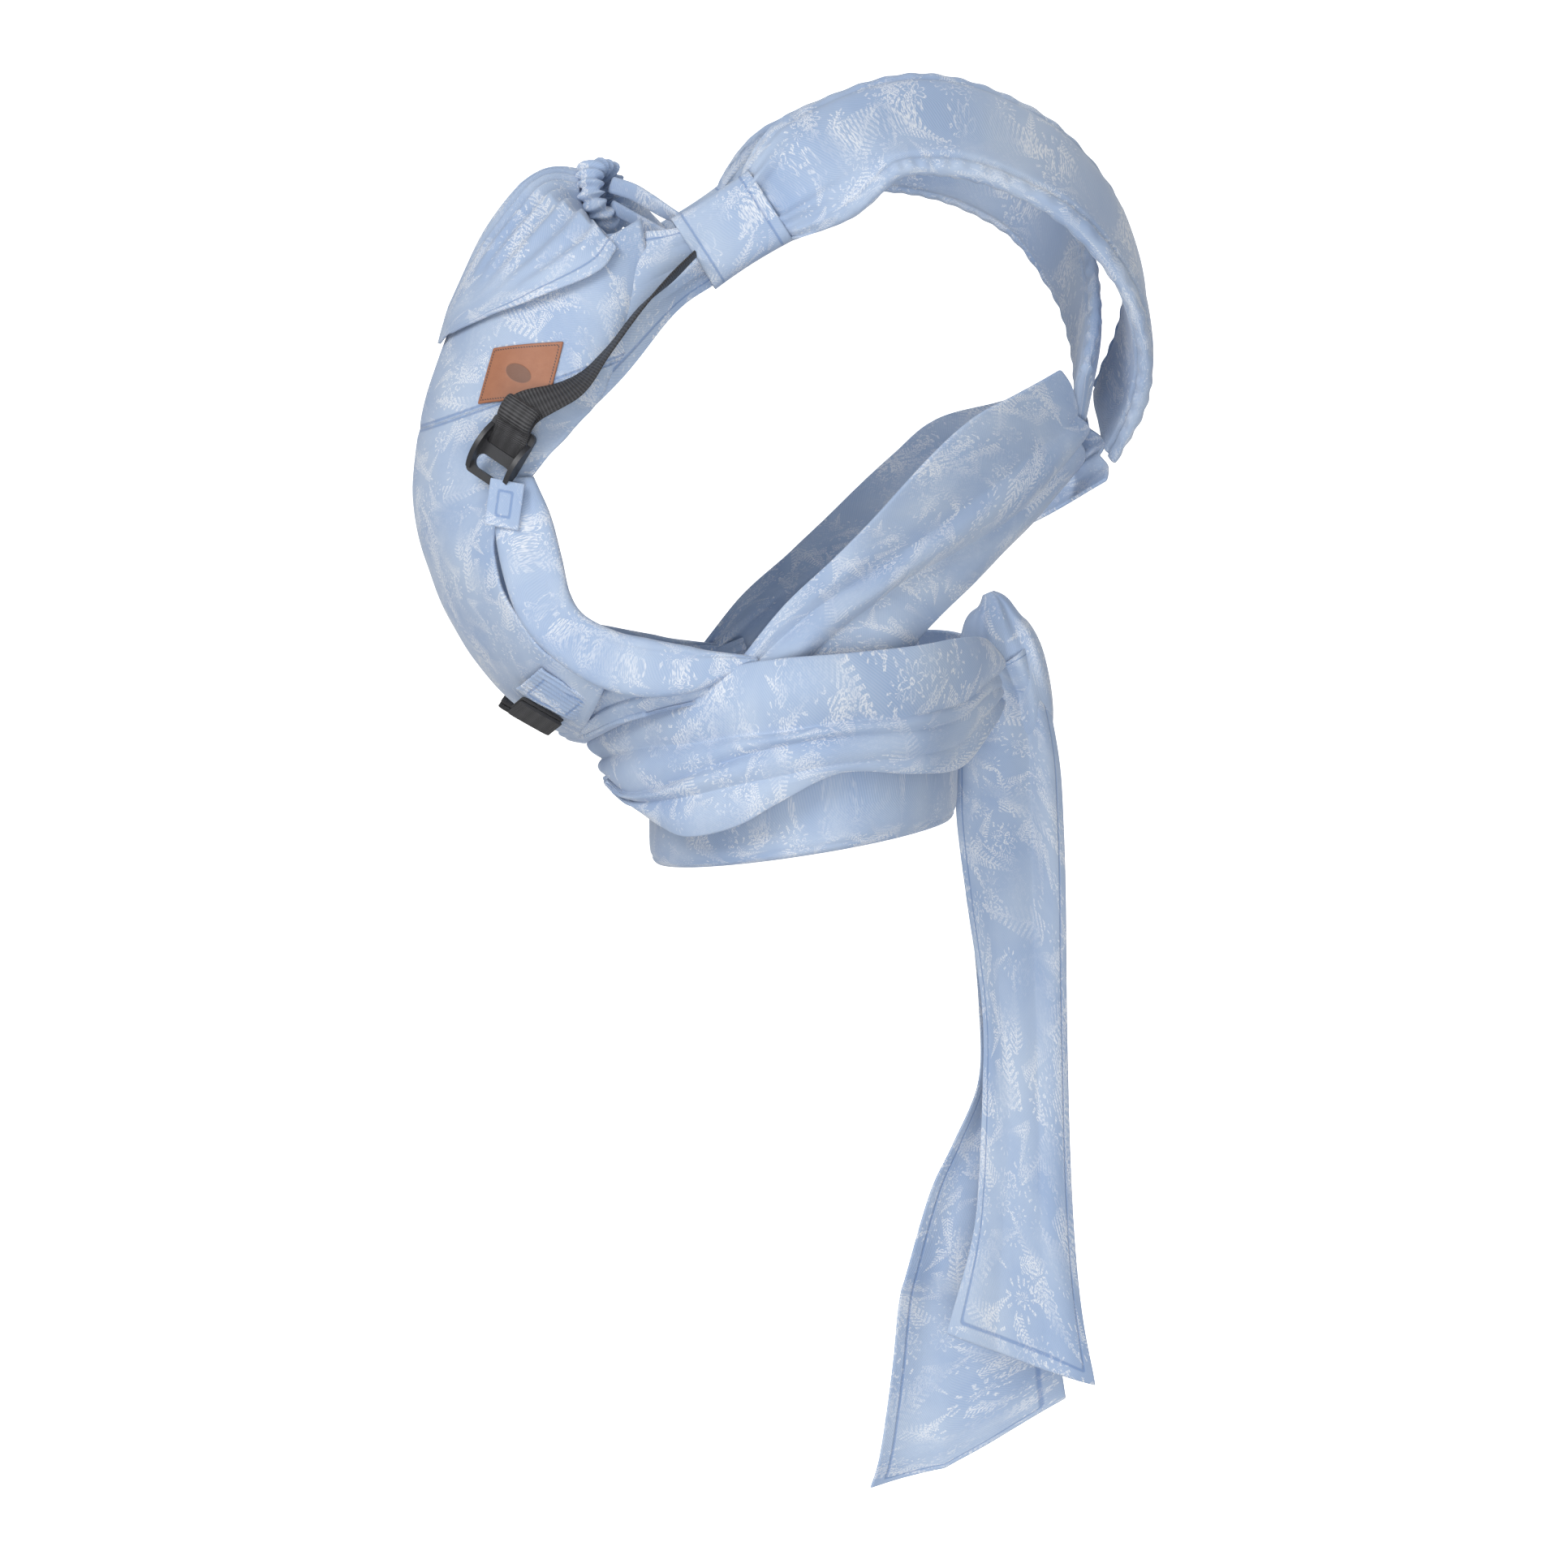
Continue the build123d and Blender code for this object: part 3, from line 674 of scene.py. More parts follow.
def throat_place(u, w):
    turn = 2 * pi * w
    crease = cos(turn * PLEATS + 1.2 * sin(turn * 3))
    radius = (RING_RADIUS - 2 * MM) * (1 - 0.45 * u) + crease * 1.6 * MM * (1 - u)
    return ring_point(turn, radius, 0.004 - 0.026 * u)


throat = grid("hood_throat", throat_place, 14, 180, cloth_material, tube=True, hems="",
              facing=lambda p: RING_MIDDLE - p)
thicken(throat, 1.0, levels=0)
belongs(throat, "hood")
# each side has two strands: where they run, and the turn, twist, width and thickness of the band
TIES = (("hood_tie_band", 0.0, 0.4, 0.35, 11, 4, 60, 20, (
            (16, -190, -36), (32, -178, -41), (47, -168, -48), (59, -160, -54), (70, -152, -59),
            (82, -145, -63))),
        ("hood_tie_return", 0.6, 0.35, 0.4, 9, 3.5, 40, 16, (
            (16, -190, -50), (32, -174, -60), (50, -162, -68), (66, -154, -72), (80, -148, -73))))
for side, word in ((1, "left"), (-1, "right")):
    for kind, turn, twist, lean, wide, thick, along, around, route in TIES:
        strand = [(m, (sin(turn + i * twist), lean, cos(turn + i * twist)), wide, thick)
                  for i, m in enumerate(route)]
        tie = tube(f"{word}_{kind}", rows_on_side(strand, side), along, around, cloth_material)
        belongs(tie, "hood", *([word + "_hood_tie"] if kind == "hood_tie_band" else []))

# %% [markdown]
# ## Wraps
# From each pad the plain wrap cloth runs on across the wearer's back, over the opposite hip and
# under the baby's seat. Then it comes back round the hip to the knot. It lies in long pleats, so
# each wrap is drawn as its edges and creases.

# %% Cross wraps
TORSO = Vector((0, -64, 0)) * MM


def from_torso(point):
    """Outwards from the wearer's body: level, away from its upright middle line."""
    flat = Vector((point.x / 140, (point.y - TORSO.y) / 101, 0))
    return Vector((flat.x / 140, flat.y / 101, 0)).normalized()


def worn(place, seed):
    """Add the soft unevenness of worn cloth, longer along the piece than across it."""
    def moved(u, w):
        point = place(u, w)
        lumps = noise.noise(Vector((u * 6, w * 6, seed)))
        fine = soft_noise(point, 0.045, seed)
        return point + from_torso(point) * 1.4 * (lumps + fine) * MM
    return moved


CROSS_LINES = [
    ((50, 99, -155), (72, 67, -171), (92, 36, -186), (108, 7, -210), (126, -34, -251),
     (133, -58, -274), (138, -91, -304), (134, -123, -344)),
    ((18, 113, -184), (30, 101, -195), (50, 80, -209), (72, 51, -230), (100, 8, -259),
     (122, -33, -284), (136, -73, -309), (139, -115, -346)),
    ((2, 118, -202), (22, 98, -223), (50, 68, -249), (80, 32, -269), (108, -8, -288),
     (124, -33, -305), (136, -63, -327), (139, -94, -360)),
    ((-14, 120, -219), (18, 91, -246), (50, 62, -272), (72, 38, -294), (92, 16, -312),
     (108, -2, -329), (120, -20, -349), (132, -52, -372))]
for side, word, node in ((1, "near", "right_cross_wrap"), (-1, "far", "left_cross_wrap")):
    lines = [on_side(mm(*row), side) for row in CROSS_LINES]
    if side < 0:
        for line in lines:          # the far one lies over the near one where they cross
            line[0] += Vector((0, 0.014, -0.008))
            line[1] += Vector((0, 0.008, -0.004))
    place = worn(lobed(lines, from_torso, (3.0, 7.0, 4.0), 0.9), seed=side * 3.0)
    wrap = grid(word + "_cross_wrap_cloth", place, 130, 66, cloth_material, hems="",
                facing=from_torso)
    thicken(wrap, 2.6)
    declare(wrap, "carrier", [node])

# %% Waist wraps
def under_the_near_one(lines):
    """The far cloth starts 4 mm nearer the body, because the near cloth lies over it there."""
    return [[p + Vector((0, 0.004, 0)) if i < 2 else p for i, p in enumerate(line)]
            for line in lines]


WAIST_LINES = [
    ((-6, -201, -392), (36, -192, -379), (84, -174, -366), (118, -151, -357), (141, -122, -342),
     (151, -95, -337), (151, -56, -334), (132, -7, -330), (98, 25, -326), (62, 46, -327),
     (26, 58, -334), (5, 62, -341)),
    ((8, -197, -407), (48, -188, -402), (84, -174, -396), (118, -151, -393), (141, -122, -387),
     (151, -95, -384), (151, -56, -378), (132, -7, -374), (94, 27, -368), (58, 49, -356),
     (26, 62, -352), (5, 66, -351)),
    ((22, -193, -418), (58, -184, -426), (89, -171, -423), (118, -151, -413), (141, -122, -401),
     (151, -95, -393), (151, -56, -387), (132, -7, -384), (93, 28, -378), (57, 50, -364),
     (26, 63, -360), (5, 67, -357)),
    ((38, -190, -424), (66, -181, -431), (94, -168, -430), (118, -151, -426), (141, -122, -418),
     (151, -95, -412), (151, -56, -404), (132, -7, -400), (93, 28, -394), (56, 51, -376),
     (26, 64, -366), (5, 68, -363)),
    ((44, -188, -427), (72, -179, -436), (96, -167, -446), (118, -151, -452), (141, -121, -444),
     (151, -94, -428), (151, -56, -410), (132, -8, -412), (93, 28, -410), (55, 52, -388),
     (26, 65, -372), (5, 69, -369))]
for side, word in ((1, "left"), (-1, "right")):
    lines = [on_side(mm(*row), side) for row in WAIST_LINES]
    lines = under_the_near_one(lines) if side < 0 else lines
    bulges = (lambda u: 7.0 - 2.0 * u, lambda u: 5.5 - 4.0 * u, lambda u: 6.0 - 5.0 * u,
              lambda u: 4.0 - 3.0 * u)
    place = worn(lobed(lines, from_torso, bulges, 0.85), seed=side * 5.0)
    wrap = grid(word + "_waist_wrap_cloth", place, 116, 80, cloth_material, hems="",
                facing=from_torso)
    thicken(wrap, 2.6)
    declare(wrap, "carrier", [word + "_waist_wrap"])

# %% Seat wraps
SEAT_LINES = [
    ((-4, -221, -380), (48, -214, -372), (93, -201, -358), (119, -179, -351), (132, -150, -349),
     (138, -118, -342), (137, -90, -332)),
    ((-4, -222, -388), (45, -213, -384), (89, -197, -369), (115, -174, -361), (131, -146, -357),
     (138, -115, -349), (137, -88, -338)),
    ((-4, -219, -394), (42, -209, -391), (86, -192, -380), (113, -168, -371), (130, -141, -364),
     (138, -112, -356), (137, -85, -344)),
    ((-4, -206, -398), (38, -198, -390), (84, -180, -378), (114, -157, -370), (131, -132, -362),
     (139, -106, -354), (138, -80, -346))]
for side, word in ((1, "near"), (-1, "far")):
    lines = [on_side(mm(*row), side) for row in SEAT_LINES]
    lines = under_the_near_one(lines) if side < 0 else lines
    place = worn(lobed(lines, from_torso, (2.0, 3.5, 4.0), 0.85), seed=side * 7.0)
    wrap = grid(word + "_seat_wrap_cloth", place, 110, 50, cloth_material, hems="",
                facing=from_torso)
    thicken(wrap, 2.2)
    declare(wrap, "carrier", [])

# %% [markdown]
# ## Knot and tails
# Both ends meet in a knot on the wearer's back and hang down. The near one shows its full
# width, with two long soft folds. The far one swings forward behind it.

# %% Tails
def to_left(point):
    return Vector((1, 0, 0))


NEAR_TAIL = [
    ((20, 36, -334), (24, 43, -341), (22, 43, -363), (20, 36, -379), (16, 34, -415),
     (15, 34, -446), (15, 41, -498), (15, 51, -569), (15, 52, -622), (15, 50, -682),
     (15, 45, -725), (15, 28, -785)),
    ((27, 43, -333), (29, 49, -343), (28, 51, -360), (26, 50, -389), (24, 50, -421),
     (22, 52, -453), (20, 58, -503), (19, 65, -570), (19, 68, -626), (19, 68, -687),
     (18, 65, -733), (16, 62, -798)),
    ((26, 65, -345), (26, 70, -356), (23, 76, -368), (20, 81, -387), (18, 83, -421),
     (17, 85, -458), (17, 86, -506), (17, 88, -573), (17, 89, -632), (17, 90, -696),
     (17, 92, -744), (17, 95, -811)),
    ((12, 83, -332), (12, 92, -358), (11, 98, -381), (12, 104, -416), (13, 106, -454),
     (14, 107, -499), (14, 108, -539), (14, 109, -605), (14, 111, -667), (14, 115, -731),
     (14, 120, -779), (14, 128, -821))]
FAR_TAIL = [
    ((-6, 46, -372), (-10, 44, -430), (-12, 48, -500), (-12, 54, -570), (-12, 54, -621),
     (-12, 37, -664), (-12, 22, -696), (-12, 6, -748), (-12, 1, -767), (-12, -3, -812),
     (-12, -11, -867), (-12, -18, -891)),
    ((-8, 62, -374), (-12, 62, -430), (-14, 66, -500), (-14, 70, -570), (-16, 70, -622),
     (-17, 60, -665), (-17, 52, -700), (-17, 44, -748), (-17, 41, -775), (-17, 36, -815),
     (-15, 32, -858), (-14, 32, -879)),
    ((-8, 84, -374), (-12, 90, -430), (-14, 94, -500), (-14, 98, -570), (-14, 98, -622),
     (-14, 100, -660), (-14, 101, -695), (-14, 102, -730), (-14, 104, -760), (-14, 107, -788),
     (-14, 110, -812), (-14, 113, -834))]


def hanging(place, seed):
    """A hanging piece: slow folds that run down it, and a little unevenness."""
    def moved(u, w):
        point = place(u, w)
        fold = sin(w * 2.4 * pi + 1.2 * sin(u * 2.4) + seed) * (0.3 + 0.7 * u)
        lumps = noise.noise(Vector((u * 5, w * 3, seed)))
        return point + Vector((fold * 2.6 + lumps * 3.0, lumps * 0.8, 0)) * MM
    return moved


TAIL_BULGES = (lambda u: 3.5 * exp(-3 * u), lambda u: 7.0 * exp(-2.2 * u) + 1.0,
               lambda u: 8.0 * exp(-2.6 * u) + 1.0)
near_lines = [mm(*row) for row in NEAR_TAIL]
near_tail = grid("near_tail_cloth", hanging(lobed(near_lines, to_left, TAIL_BULGES, 1.1), 0.4),
                 190, 60, cloth_material, facing=to_left)
thicken(near_tail, 1.8)
near_bend = ("carrier", "near_tail", (0.015, 0.0935, -0.370), (0.015, 0.0935, -0.450))
declare(near_tail, near_bend, ["near_tail"])
far_lines = [mm(*row) for row in FAR_TAIL]
far_tail = grid("far_tail_cloth", hanging(lobed(far_lines, to_left, (-3.0, -2.0), 1.2), 2.1),
                170, 56, cloth_material, facing=to_left)
thicken(far_tail, 1.8)
far_bend = ("carrier", "far_tail", (-0.012, 0.0915, -0.370), (-0.012, 0.0915, -0.450))
declare(far_tail, far_bend, ["far_tail"])

# %% Knot
KNOT = [((5, 57, -300), 8, 10), ((6, 60, -308), 24, 22), ((6, 61, -320), 42, 33),
        ((5, 64, -336), 54, 42), ((4, 68, -356), 58, 46), ((3, 70, -376), 60, 42),
        ((2, 70, -392), 58, 34), ((2, 70, -400), 50, 24)]


def knot_shape(u, a, b, wide, thin, heading):
    """Tucks in the knot: creases that run down it and close in towards its left."""
    crease = sin(a * 5.5 + u * 6.5) + 0.6 * sin(a * 13 - u * 7)
    return thin * b * crease * 2.8 * MM * sin(pi * min(max(u, 0), 1))


knot = tube("knot_cloth", [(m, (0.05, 1, -0.1), w, t) for m, w, t in KNOT], 70, 70,
               cloth_material, square=0.8, shape=knot_shape)
belongs(knot, "carrier", "knot")

# %% [markdown]
# ## Padded pieces
# The shoulder pads hold a flat foam pad inside a cloth cover. Near the sleeve the cover is
# gathered into pleats, and a seam runs along both edges, where the cover puckers a little.

# %% Shoulder pads
PAD_STATIONS = [
    ((84, -128, -72), (0.22, 0.51, -0.83), 40, 11), ((84, -108, -59), (0.22, 0.51, -0.83), 40, 12),
    ((86, -92, -48), (0.3, 0.40, -0.86), 62, 14), ((88, -64, -27), (0.55, 0.25, -0.80), 92, 16),
    ((88, -27, -5), (0.75, 0, -0.66), 98, 17), ((87, 11, 0), (0.75, 0, -0.66), 98, 17),
    ((82, 54, -10), (0.75, 0, -0.66), 98, 17), ((72, 98, -34), (0.75, 0, -0.66), 98, 17),
    ((52, 134, -74), (0.75, 0, -0.66), 96, 16), ((28, 151, -116), (0.75, 0, -0.66), 94, 15),
    ((0, 152, -152), (0.75, 0, -0.66), 90, 14), ((-30, 140, -188), (0.75, 0, -0.66), 84, 12)]
INNER_STATIONS = PAD_STATIONS[:7] + [
    ((72, 93, -34), (0.75, 0, -0.66), 98, 15), ((55, 117, -74), (0.75, 0, -0.66), 96, 14),
    ((34, 125, -111), (0.75, 0, -0.66), 94, 13), ((7, 124, -148), (0.75, 0, -0.66), 90, 12),
    ((-19, 115, -179), (0.75, 0, -0.66), 84, 11)]


def pad_shape(u, a, b, wide, thin, heading):
    """Pleats that fan out from the sleeve, puckers along both seams, and soft lumps."""
    fan = exp(-((u - 0.15) / 0.10) ** 2)
    pleats = sin(a * 11 + 6 * u) + 0.8 * sin(a * 19 + 1 - u * 14)
    edge = exp(-((abs(a) - 0.93) / 0.10) ** 2)
    puckers = edge * sin(u * 210 + a) * 0.55
    groove = -1.8 * exp(-((abs(a) - 0.80) / 0.04) ** 2)
    lumps = 1.4 * noise.noise(Vector((u * 9, a * 1.5, 4.0)))
    rise = fan * pleats * 3.0 + puckers + groove + lumps
    return thin * (rise * (1 if b > 0 else -1) * min(1.0, abs(b) * 2)) * MM


for side, word, stations in ((1, "left", PAD_STATIONS), (-1, "right", INNER_STATIONS)):
    pad = tube(word + "_shoulder_pad_cover", rows_on_side(stations, side), 420, 84,
               cloth_material, shape=pad_shape)
    belongs(pad, "carrier", word + "_shoulder_pad", word + "_shoulder_foam")

# %% [markdown]
# ## Sleeves and top corners
# A flat open sleeve holds the gathered start of each strap together. The panel's top corner is
# drawn into its lower end, so the corner's folds run together there.

# %% Strap sleeves
SLEEVE_ALONG = Vector((0.06, 0.84, 0.53)).normalized()
SLEEVE_ACROSS = Vector((0.22, 0.51, -0.83)).normalized()
for side, word in ((1, "left"), (-1, "right")):
    flip = Vector((side, 1, 1))
    along, across = SLEEVE_ALONG * flip, SLEEVE_ACROSS * flip
    out = along.cross(across).normalized()
    middle = Vector((84 * side, -119, -67)) * MM

    def sleeve_place(u, w, middle=middle, along=along, across=across, out=out):
        turn = 2 * pi * w
        a = rounded(cos(turn), 0.55)
        b = rounded(sin(turn), 0.75)
        flare = 1 + 0.05 * (2 * u - 1) ** 2
        centre = 1.0 - 0.16 * exp(-((a - 0.1) / 0.05) ** 2) * abs(b)
        lumps = 0.8 * soft_noise((a * 0.02, b * 0.01, u * 0.05), 0.02, 2.0) * MM
        return (middle + along * (u - 0.5) * 58 * MM + across * a * 25.5 * MM * flare
                + out * (b * 10.5 * centre * flare * MM + lumps))

    sleeve = grid(word + "_sleeve_cloth", sleeve_place, 40, 96, cloth_material, tube=True,
                  hems="u", facing=lambda p, m=middle: p - m)
    thicken(sleeve, 1.8, levels=0)
    belongs(sleeve, "carrier", word + "_strap_sleeve")

# %% Top corners of the panel
CORNER_LINES = [((66, -208, -70), (74, -184, -68), (84, -156, -66), (84, -130, -58)),
                ((83, -214, -98), (88, -184, -88), (88, -154, -78), (87, -128, -68)),
                ((90, -218, -130), (94, -186, -108), (90, -152, -90), (87, -127, -78)),
                ((93, -220, -164), (97, -188, -130), (91, -153, -104), (87, -127, -88)),
                ((90, -229, -200), (97, -189, -161), (92, -155, -120), (86, -128, -101))]
for side, word in ((1, "left"), (-1, "right")):
    lines = [on_side(mm(*row), side) for row in CORNER_LINES]
    out = Vector((side, -0.3, 0.25)).normalized()
    corner = grid(word + "_top_corner_cloth",
                  lobed(lines, lambda p, o=out: o, [lambda u: 0.2 + 2.4 * u * u] * 4), 50, 70,
                  cloth_material, facing=lambda p, o=out: o)
    thicken(corner, 2.2)
    declare(corner, "carrier", [word + "_top_corner"])

# %% Leg pads
LEG_LEFT = ((97, -266, -226), (99, -271, -251), (102, -267, -280), (107, -258, -307),
            (113, -241, -331), (120, -215, -351), (126, -190, -358), (132, -159, -356),
            (136, -134, -347), (136, -112, -343))
LEG_RIGHT = ((98, -246, -224), (104, -236, -249), (110, -229, -277), (116, -223, -303),
             (121, -212, -316), (127, -190, -325), (132, -166, -330), (135, -140, -334),
             (136, -122, -337), (136, -104, -339))
for side, word in ((1, "left"), (-1, "right")):
    rows = []
    for a, b in zip(LEG_LEFT, LEG_RIGHT):
        a, b = Vector(a), Vector(b)
        middle, across = (a + b) / 2, b - a
        thick = 13 if rows else 9
        rows.append((middle, across, across.length, thick))

    def leg_shape(u, a, b, wide, thin, heading):
        edge = exp(-((abs(a) - 0.9) / 0.12) ** 2)
        crease = -1.6 * exp(-((a - 0.25 - 0.5 * u) / 0.07) ** 2)
        lumps = 1.2 * noise.noise(Vector((u * 7, a * 1.2, 8.0)))
        return thin * ((edge * sin(u * 90) * 0.4 + lumps + crease) * b) * MM

    leg = tube(word + "_leg_pad_cover", rows_on_side(rows, side), 120, 56,
               cloth_material, shape=leg_shape)
    belongs(leg, "carrier", word + "_leg_pad", word + "_leg_foam")

# %% [markdown]
# ## The waistband
# A firm padded band lies level round the waist and rises a little to the back, where its two
# ends almost meet. Its section is a tall rounded rectangle, so a tube of that section follows an
# oval. Grooves mark the stitching along both edges and near the ends.

# %% Waistband
BAND_TALL, BAND_THICK, BAND_ROUND = 96, 14, 740     # mm
BAND_GAP = 0.075                # radians between the two ends, at the wearer's back
END_SEAM = 12                   # mm from each end to its line of stitching
BAND_SLOPE = sin(radians(9.5))


def band_middle(turn):
    """The middle of the band at an angle round the waist: an oval that rises to the back."""
    x, y = 132.5 * sin(turn), -64 - 93.5 * cos(turn)
    return Vector((x, y, -461 + BAND_TALL / 2 + (y + 64) * BAND_SLOPE)) * MM


def band_place(u, w):
    turn = pi + (2 * pi - BAND_GAP) * (u - 0.5) + pi
    middle = band_middle(turn)
    out = from_torso(middle)
    around = 2 * pi * w
    a = rounded(cos(around), 0.35)
    b = rounded(sin(around), 0.7)
    near_end = min(u, 1 - u) * BAND_ROUND
    groove = exp(-((near_end - END_SEAM) / 1.6) ** 2) + exp(-((abs(a) - 0.90) / 0.02) ** 2)
    lumps = 1.6 * noise.noise(Vector((u * 16, a * 1.4, 1.0)))
    taper = min(1.0, 0.35 + near_end / 12)
    tall = BAND_TALL / 2 * a * (1 - 0.06 * exp(-near_end / 8))
    thick = BAND_THICK / 2 * taper + lumps - groove
    return middle + Vector((0, 0, tall * MM)) + out * b * thick * MM


band = grid("waistband_cover", band_place, 300, 72, cloth_material, hems="", tube=True)
close_ends(band)
belongs(band, "carrier", "waistband", "waistband_foam")

# %% [markdown]
# ## Leather, webbing and plastic
# The small hard parts: a stitched leather patch, woven black webbing, the ladder-lock buckles
# of moulded black plastic, and the stitched channels that gather the seat.


# %% Leather patch
leather, tree, shader = new_material("tan leather", 0.5)
spot = add(tree, "UVMap", uv_map="cloth")[0]
hem = add(tree, "Attribute", attribute_name="hem")[2]
place = add(tree, "SeparateXYZ", spot)
MARK_X, MARK_Y, MARK_TURN, MARK_LONG, MARK_WIDE = 25, 18, 0.5, 11, 5.2      # a plain oval, mm
moved = add(tree, "VectorMath SUBTRACT", spot, (MARK_X * MM, MARK_Y * MM, 0))[0]
moved = add(tree, "VectorRotate", moved, (0, 0, 0), (0, 0, 1), MARK_TURN)[0]
shrink = (1 / (MARK_LONG * MM), 1 / (MARK_WIDE * MM), 0)
scaled = add(tree, "VectorMath MULTIPLY", moved, shrink)[0]
size = add(tree, "VectorMath LENGTH", scaled)[1]
mark = add(tree, "MapRange", size, 0.93, 1.03, 1.0, 0.0)[0]
grain = add(tree, "TexNoise", spot, None, 140.0, 5.0, 0.6)[0]
base = add(tree, "MixRGB", grain, colour("A36D50"), colour("8F5A40"))[0]
base = add(tree, "MixRGB", add(tree, "Math MULTIPLY", mark, 0.85)[0], base, colour("6A4A3C"))[0]
line = add(tree, "Math ABSOLUTE", add(tree, "Math SUBTRACT", hem, 0.0022)[0])[0]
line = add(tree, "Math LESS_THAN", line, 0.00045)[0]
both = add(tree, "Math ADD", place[0], place[1])[0]
dash = add(tree, "Math SINE", add(tree, "Math MULTIPLY", both, 2 * pi / (1.9 * MM))[0])[0]
dash = add(tree, "Math GREATER_THAN", dash, -0.35)[0]
thread = add(tree, "Math MULTIPLY", line, dash)[0]
base = add(tree, "MixRGB", thread, base, colour("4A3A38"))[0]
tree.links.new(base, shader.inputs["Base Color"])
height = add(tree, "Math SUBTRACT", grain, add(tree, "Math MULTIPLY", mark, 0.5)[0])[0]
tree.links.new(add(tree, "Bump", 0.5, 0.0004, None, height)[0], shader.inputs["Normal"])

print("leather nodes:", len(tree.nodes))

PATCH = Vector((86, -254.6, -157.6)) * MM
PATCH_OUT = Vector((0.871, -0.436, 0.226)).normalized()
PATCH_ALONG = Vector((0.46, 0.95, 0.06))
PATCH_ALONG = (PATCH_ALONG - PATCH_OUT * PATCH_ALONG.dot(PATCH_OUT)).normalized()
PATCH_UP = PATCH_OUT.cross(PATCH_ALONG)


def on_panel(point, out, lift_mm):
    """The point moved along out until it lies a little above the panel."""
    hit = panel_tree.ray_cast(point + out * 0.04, -out, 0.09)
    return (hit[0] if hit[0] else point) + out * lift_mm * MM


def patch_place(u, w):
    skew = PATCH_ALONG * (u - 0.5) * 0.010
    flat = PATCH + PATCH_ALONG * (w - 0.5) * 0.050 + PATCH_UP * (u - 0.5) * 0.036 + skew
    return on_panel(flat, PATCH_OUT, 1.5)


patch = grid("leather_patch_hide", patch_place, 24, 32, leather, facing=lambda p: PATCH_OUT)
thicken(patch, 1.6)
belongs(patch, "carrier", "leather_patch", slot="patch_leather")

# %% Webbing
webbing, tree, shader = new_material("black polypropylene webbing", 0.6)
spot = add(tree, "UVMap", uv_map="cloth")[0]
parts = add(tree, "SeparateXYZ", spot)
ribs = add(tree, "Math SINE", add(tree, "Math MULTIPLY", parts[1], 2 * pi / (1.7 * MM))[0])[0]
cords = add(tree, "Math SINE", add(tree, "Math MULTIPLY", parts[0], 2 * pi / (2.6 * MM))[0])[0]
weave = add(tree, "Math ADD", ribs, add(tree, "Math MULTIPLY", cords, 0.4)[0])[0]
# the weave's grooves are painted darker and its raised ribs lighter: painted shade of its relief
shade = add(tree, "MapRange", weave, -1.4, 1.4, 0.0, 1.0)[0]
base = add(tree, "MixRGB", shade, colour("222224"), colour("48484B"))[0]
tree.links.new(base, shader.inputs["Base Color"])
tree.links.new(add(tree, "Bump", 0.7, 0.0004, None, weave)[0], shader.inputs["Normal"])

plastic, tree, shader = new_material("black acetal plastic", 0.38)
spot = add(tree, "TexCoord")["Object"]
grain = add(tree, "TexNoise", spot, None, 900.0, 2.0)[0]
base = add(tree, "MixRGB", grain, colour("26272A"), colour("313236"))[0]
tree.links.new(base, shader.inputs["Base Color"])
tree.links.new(add(tree, "Bump", 0.15, 0.0002, None, grain)[0], shader.inputs["Normal"])

print("webbing and plastic nodes:", *[len(m.node_tree.nodes) for m in (webbing, plastic)])

BUCKLE = Vector((97, -266, -209)) * MM
BUCKLE_ACROSS = Vector((0.384, 0.761, -0.523)).normalized()
BUCKLE_OUT = Vector((0.90, -0.42, 0.05))
BUCKLE_OUT = (BUCKLE_OUT - BUCKLE_ACROSS * BUCKLE_OUT.dot(BUCKLE_ACROSS)).normalized()
BUCKLE_UP = BUCKLE_ACROSS.cross(BUCKLE_OUT)
if BUCKLE_UP.z < 0:
    BUCKLE_UP = -BUCKLE_UP


def buckle_point(across, up, out, side):
    point = BUCKLE + (BUCKLE_ACROSS * across + BUCKLE_UP * up + BUCKLE_OUT * out) * MM
    return Vector((point.x * side, point.y, point.z)) / MM


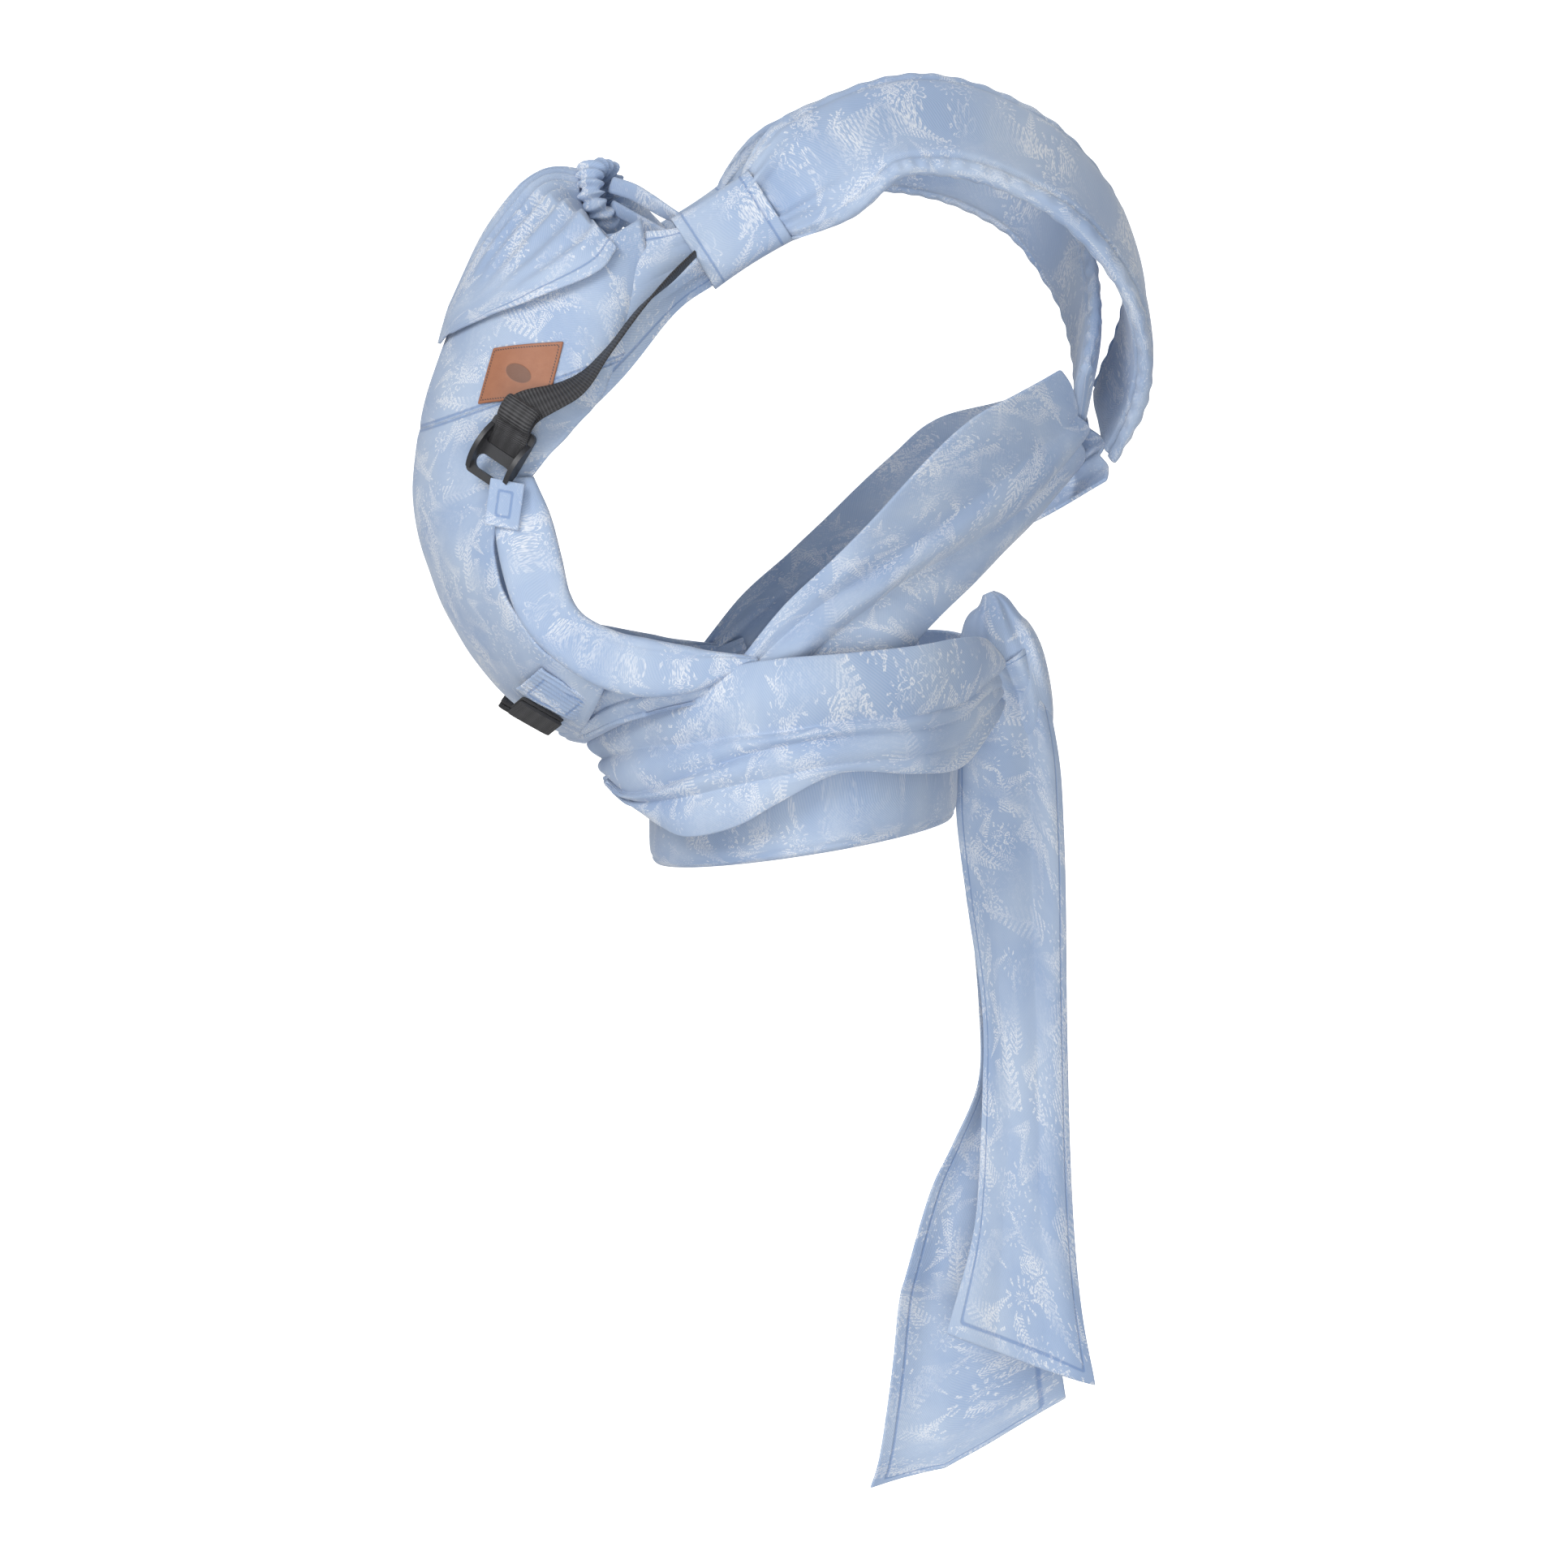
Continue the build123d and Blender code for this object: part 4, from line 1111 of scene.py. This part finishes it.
for side, word in ((1, "left"), (-1, "right")):
    flip = Vector((side, 1, 1))
    rows = [((106 * side, -144, -83), (0.9 * side, -0.1, 0.1), 25, 2),
            ((106 * side, -160, -99), (0.95 * side, -0.15, 0.1), 25, 2),
            ((105 * side, -179, -118), (0.95 * side, 0, -0.05), 25, 2),
            ((105 * side, -201, -146), (0.96 * side, 0.1, -0.1), 25, 2),
            ((106 * side, -222, -168), (0.8 * side, 0.45, -0.3), 25, 2),
            (buckle_point(0, 32, 5, side), BUCKLE_ACROSS * flip, 25, 2),
            (buckle_point(0, 12, 4, side), BUCKLE_ACROSS * flip, 25, 2),
            (buckle_point(0, 2, 2, side), BUCKLE_ACROSS * flip, 25, 2)]
    strap = tube(word + "_adjuster_strap", rows, 120, 16, webbing, square=0.3)
    bend = [[c * MM for c in point] for point in (rows[3][0], buckle_point(0, 30, 5, side))]
    belongs(strap, ("carrier", word + "_buckle", *bend), word + "_adjuster_webbing",
            slot="webbing")
    rows = [(buckle_point(0, 36, 9, side), BUCKLE_ACROSS * flip, 25, 2),
            (buckle_point(0, 34, 12, side), BUCKLE_ACROSS * flip, 25, 4.5),
            (buckle_point(0, 29, 13.5, side), BUCKLE_ACROSS * flip, 25, 5.5),
            (buckle_point(0, 23, 12, side), BUCKLE_ACROSS * flip, 25, 4.5),
            (buckle_point(0, 20, 9, side), BUCKLE_ACROSS * flip, 25, 2)]
    end = tube(word + "_webbing_fold", rows, 30, 16, webbing, square=0.3)
    belongs(end, word + "_webbing_end", word + "_webbing_end", slot="webbing")
    out = Vector((0.96 * side, -0.28, 0.0)).normalized()

    def tab_place(u, w, side=side, out=out):
        across = Vector((0.28 * side, 0.94, -0.18)).normalized()
        down = Vector((0.05 * side, -0.14, -0.98)).normalized()
        point = Vector((106 * side, -265, -241)) * MM
        point += across * (w - 0.5) * 0.023 + down * (u - 0.5) * 0.030
        return point + out * (1.5 + 0.7 * sin(pi * w)) * MM

    tab = grid(word + "_buckle_tab_cloth", tab_place, 20, 16, cloth_material,
               facing=lambda p, o=out: o)
    thicken(tab, 2.4)
    belongs(tab, "carrier", word + "_buckle_tab")
for name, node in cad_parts.items():
    if name.endswith("_buckle"):
        for place in node.material_slots:
            place.material = plastic

# %% [markdown]
# ## Seat-width channels
# Low on each side of the panel a strip is stitched down over a drawcord, with zigzag edges. It
# gathers the seat when its black tab is pulled. It is a small grid laid on the panel's slope,
# and the tab is two layers of webbing that come out of its mouth.

# %% Seat-width channels and their tabs
CHANNEL = Vector((84.6, -231.5, -362.9)) * MM
CHANNEL_OUT = Vector((0.44, -0.40, -0.804)).normalized()
CHANNEL_ALONG = Vector((-0.885, -0.304, -0.33))
CHANNEL_ALONG = (CHANNEL_ALONG - CHANNEL_OUT * CHANNEL_ALONG.dot(CHANNEL_OUT)).normalized()
CHANNEL_SIDE = CHANNEL_OUT.cross(CHANNEL_ALONG)
for side, word in ((1, "left"), (-1, "right")):
    flip = Vector((side, 1, 1))

    def channel_place(u, w, side=side, flip=flip):
        flat = CHANNEL + CHANNEL_ALONG * (u - 0.5) * 0.042 + CHANNEL_SIDE * (w - 0.5) * 0.042
        middle = 1 - (2 * w - 1) ** 2
        gathers = 0.8 * sin(u * 2 * pi * 8 + 2 * sin(w * 5)) * middle
        zigzag = 0.5 * sin(u * 2 * pi * 14) * (1 - middle)
        rise = 0.8 + 1.6 * middle ** 0.6 + gathers - 1.4 * (2 * u - 1) ** 4
        return (flat + CHANNEL_SIDE * zigzag * MM + CHANNEL_OUT * rise * MM) * flip

    channel = grid(word + "_width_channel_cloth", channel_place, 60, 44, cloth_material,
                   facing=lambda p, f=flip: CHANNEL_OUT * f)
    thicken(channel, 2.0, levels=0)
    belongs(channel, "carrier", word + "_width_channel")
    for lift, far in ((3.2, 0), (6.4, 1.5)):
        begin = CHANNEL + CHANNEL_ALONG * 0.0195 + CHANNEL_OUT * lift * MM
        rows = [(Vector((p.x * side, p.y, p.z)) / MM, CHANNEL_SIDE * flip, 31, 2.6) for p in
                (begin, begin + CHANNEL_ALONG * 0.010, begin + CHANNEL_ALONG * (0.0205 + far * MM))]
        layer = "top" if far else "under"
        tab = tube(f"{word}_width_tab_{layer}", rows, 14, 16, webbing, square=0.3)
        belongs(tab, word + "_width_tab", word + "_width_tab", slot="webbing")

# %% [markdown]
# ## Finish
# The scene is brought up to date. Cloth may stand a little proud of the solid model, but the
# size of the whole must stay the same.

# %% Finish
bpy.context.view_layer.update()
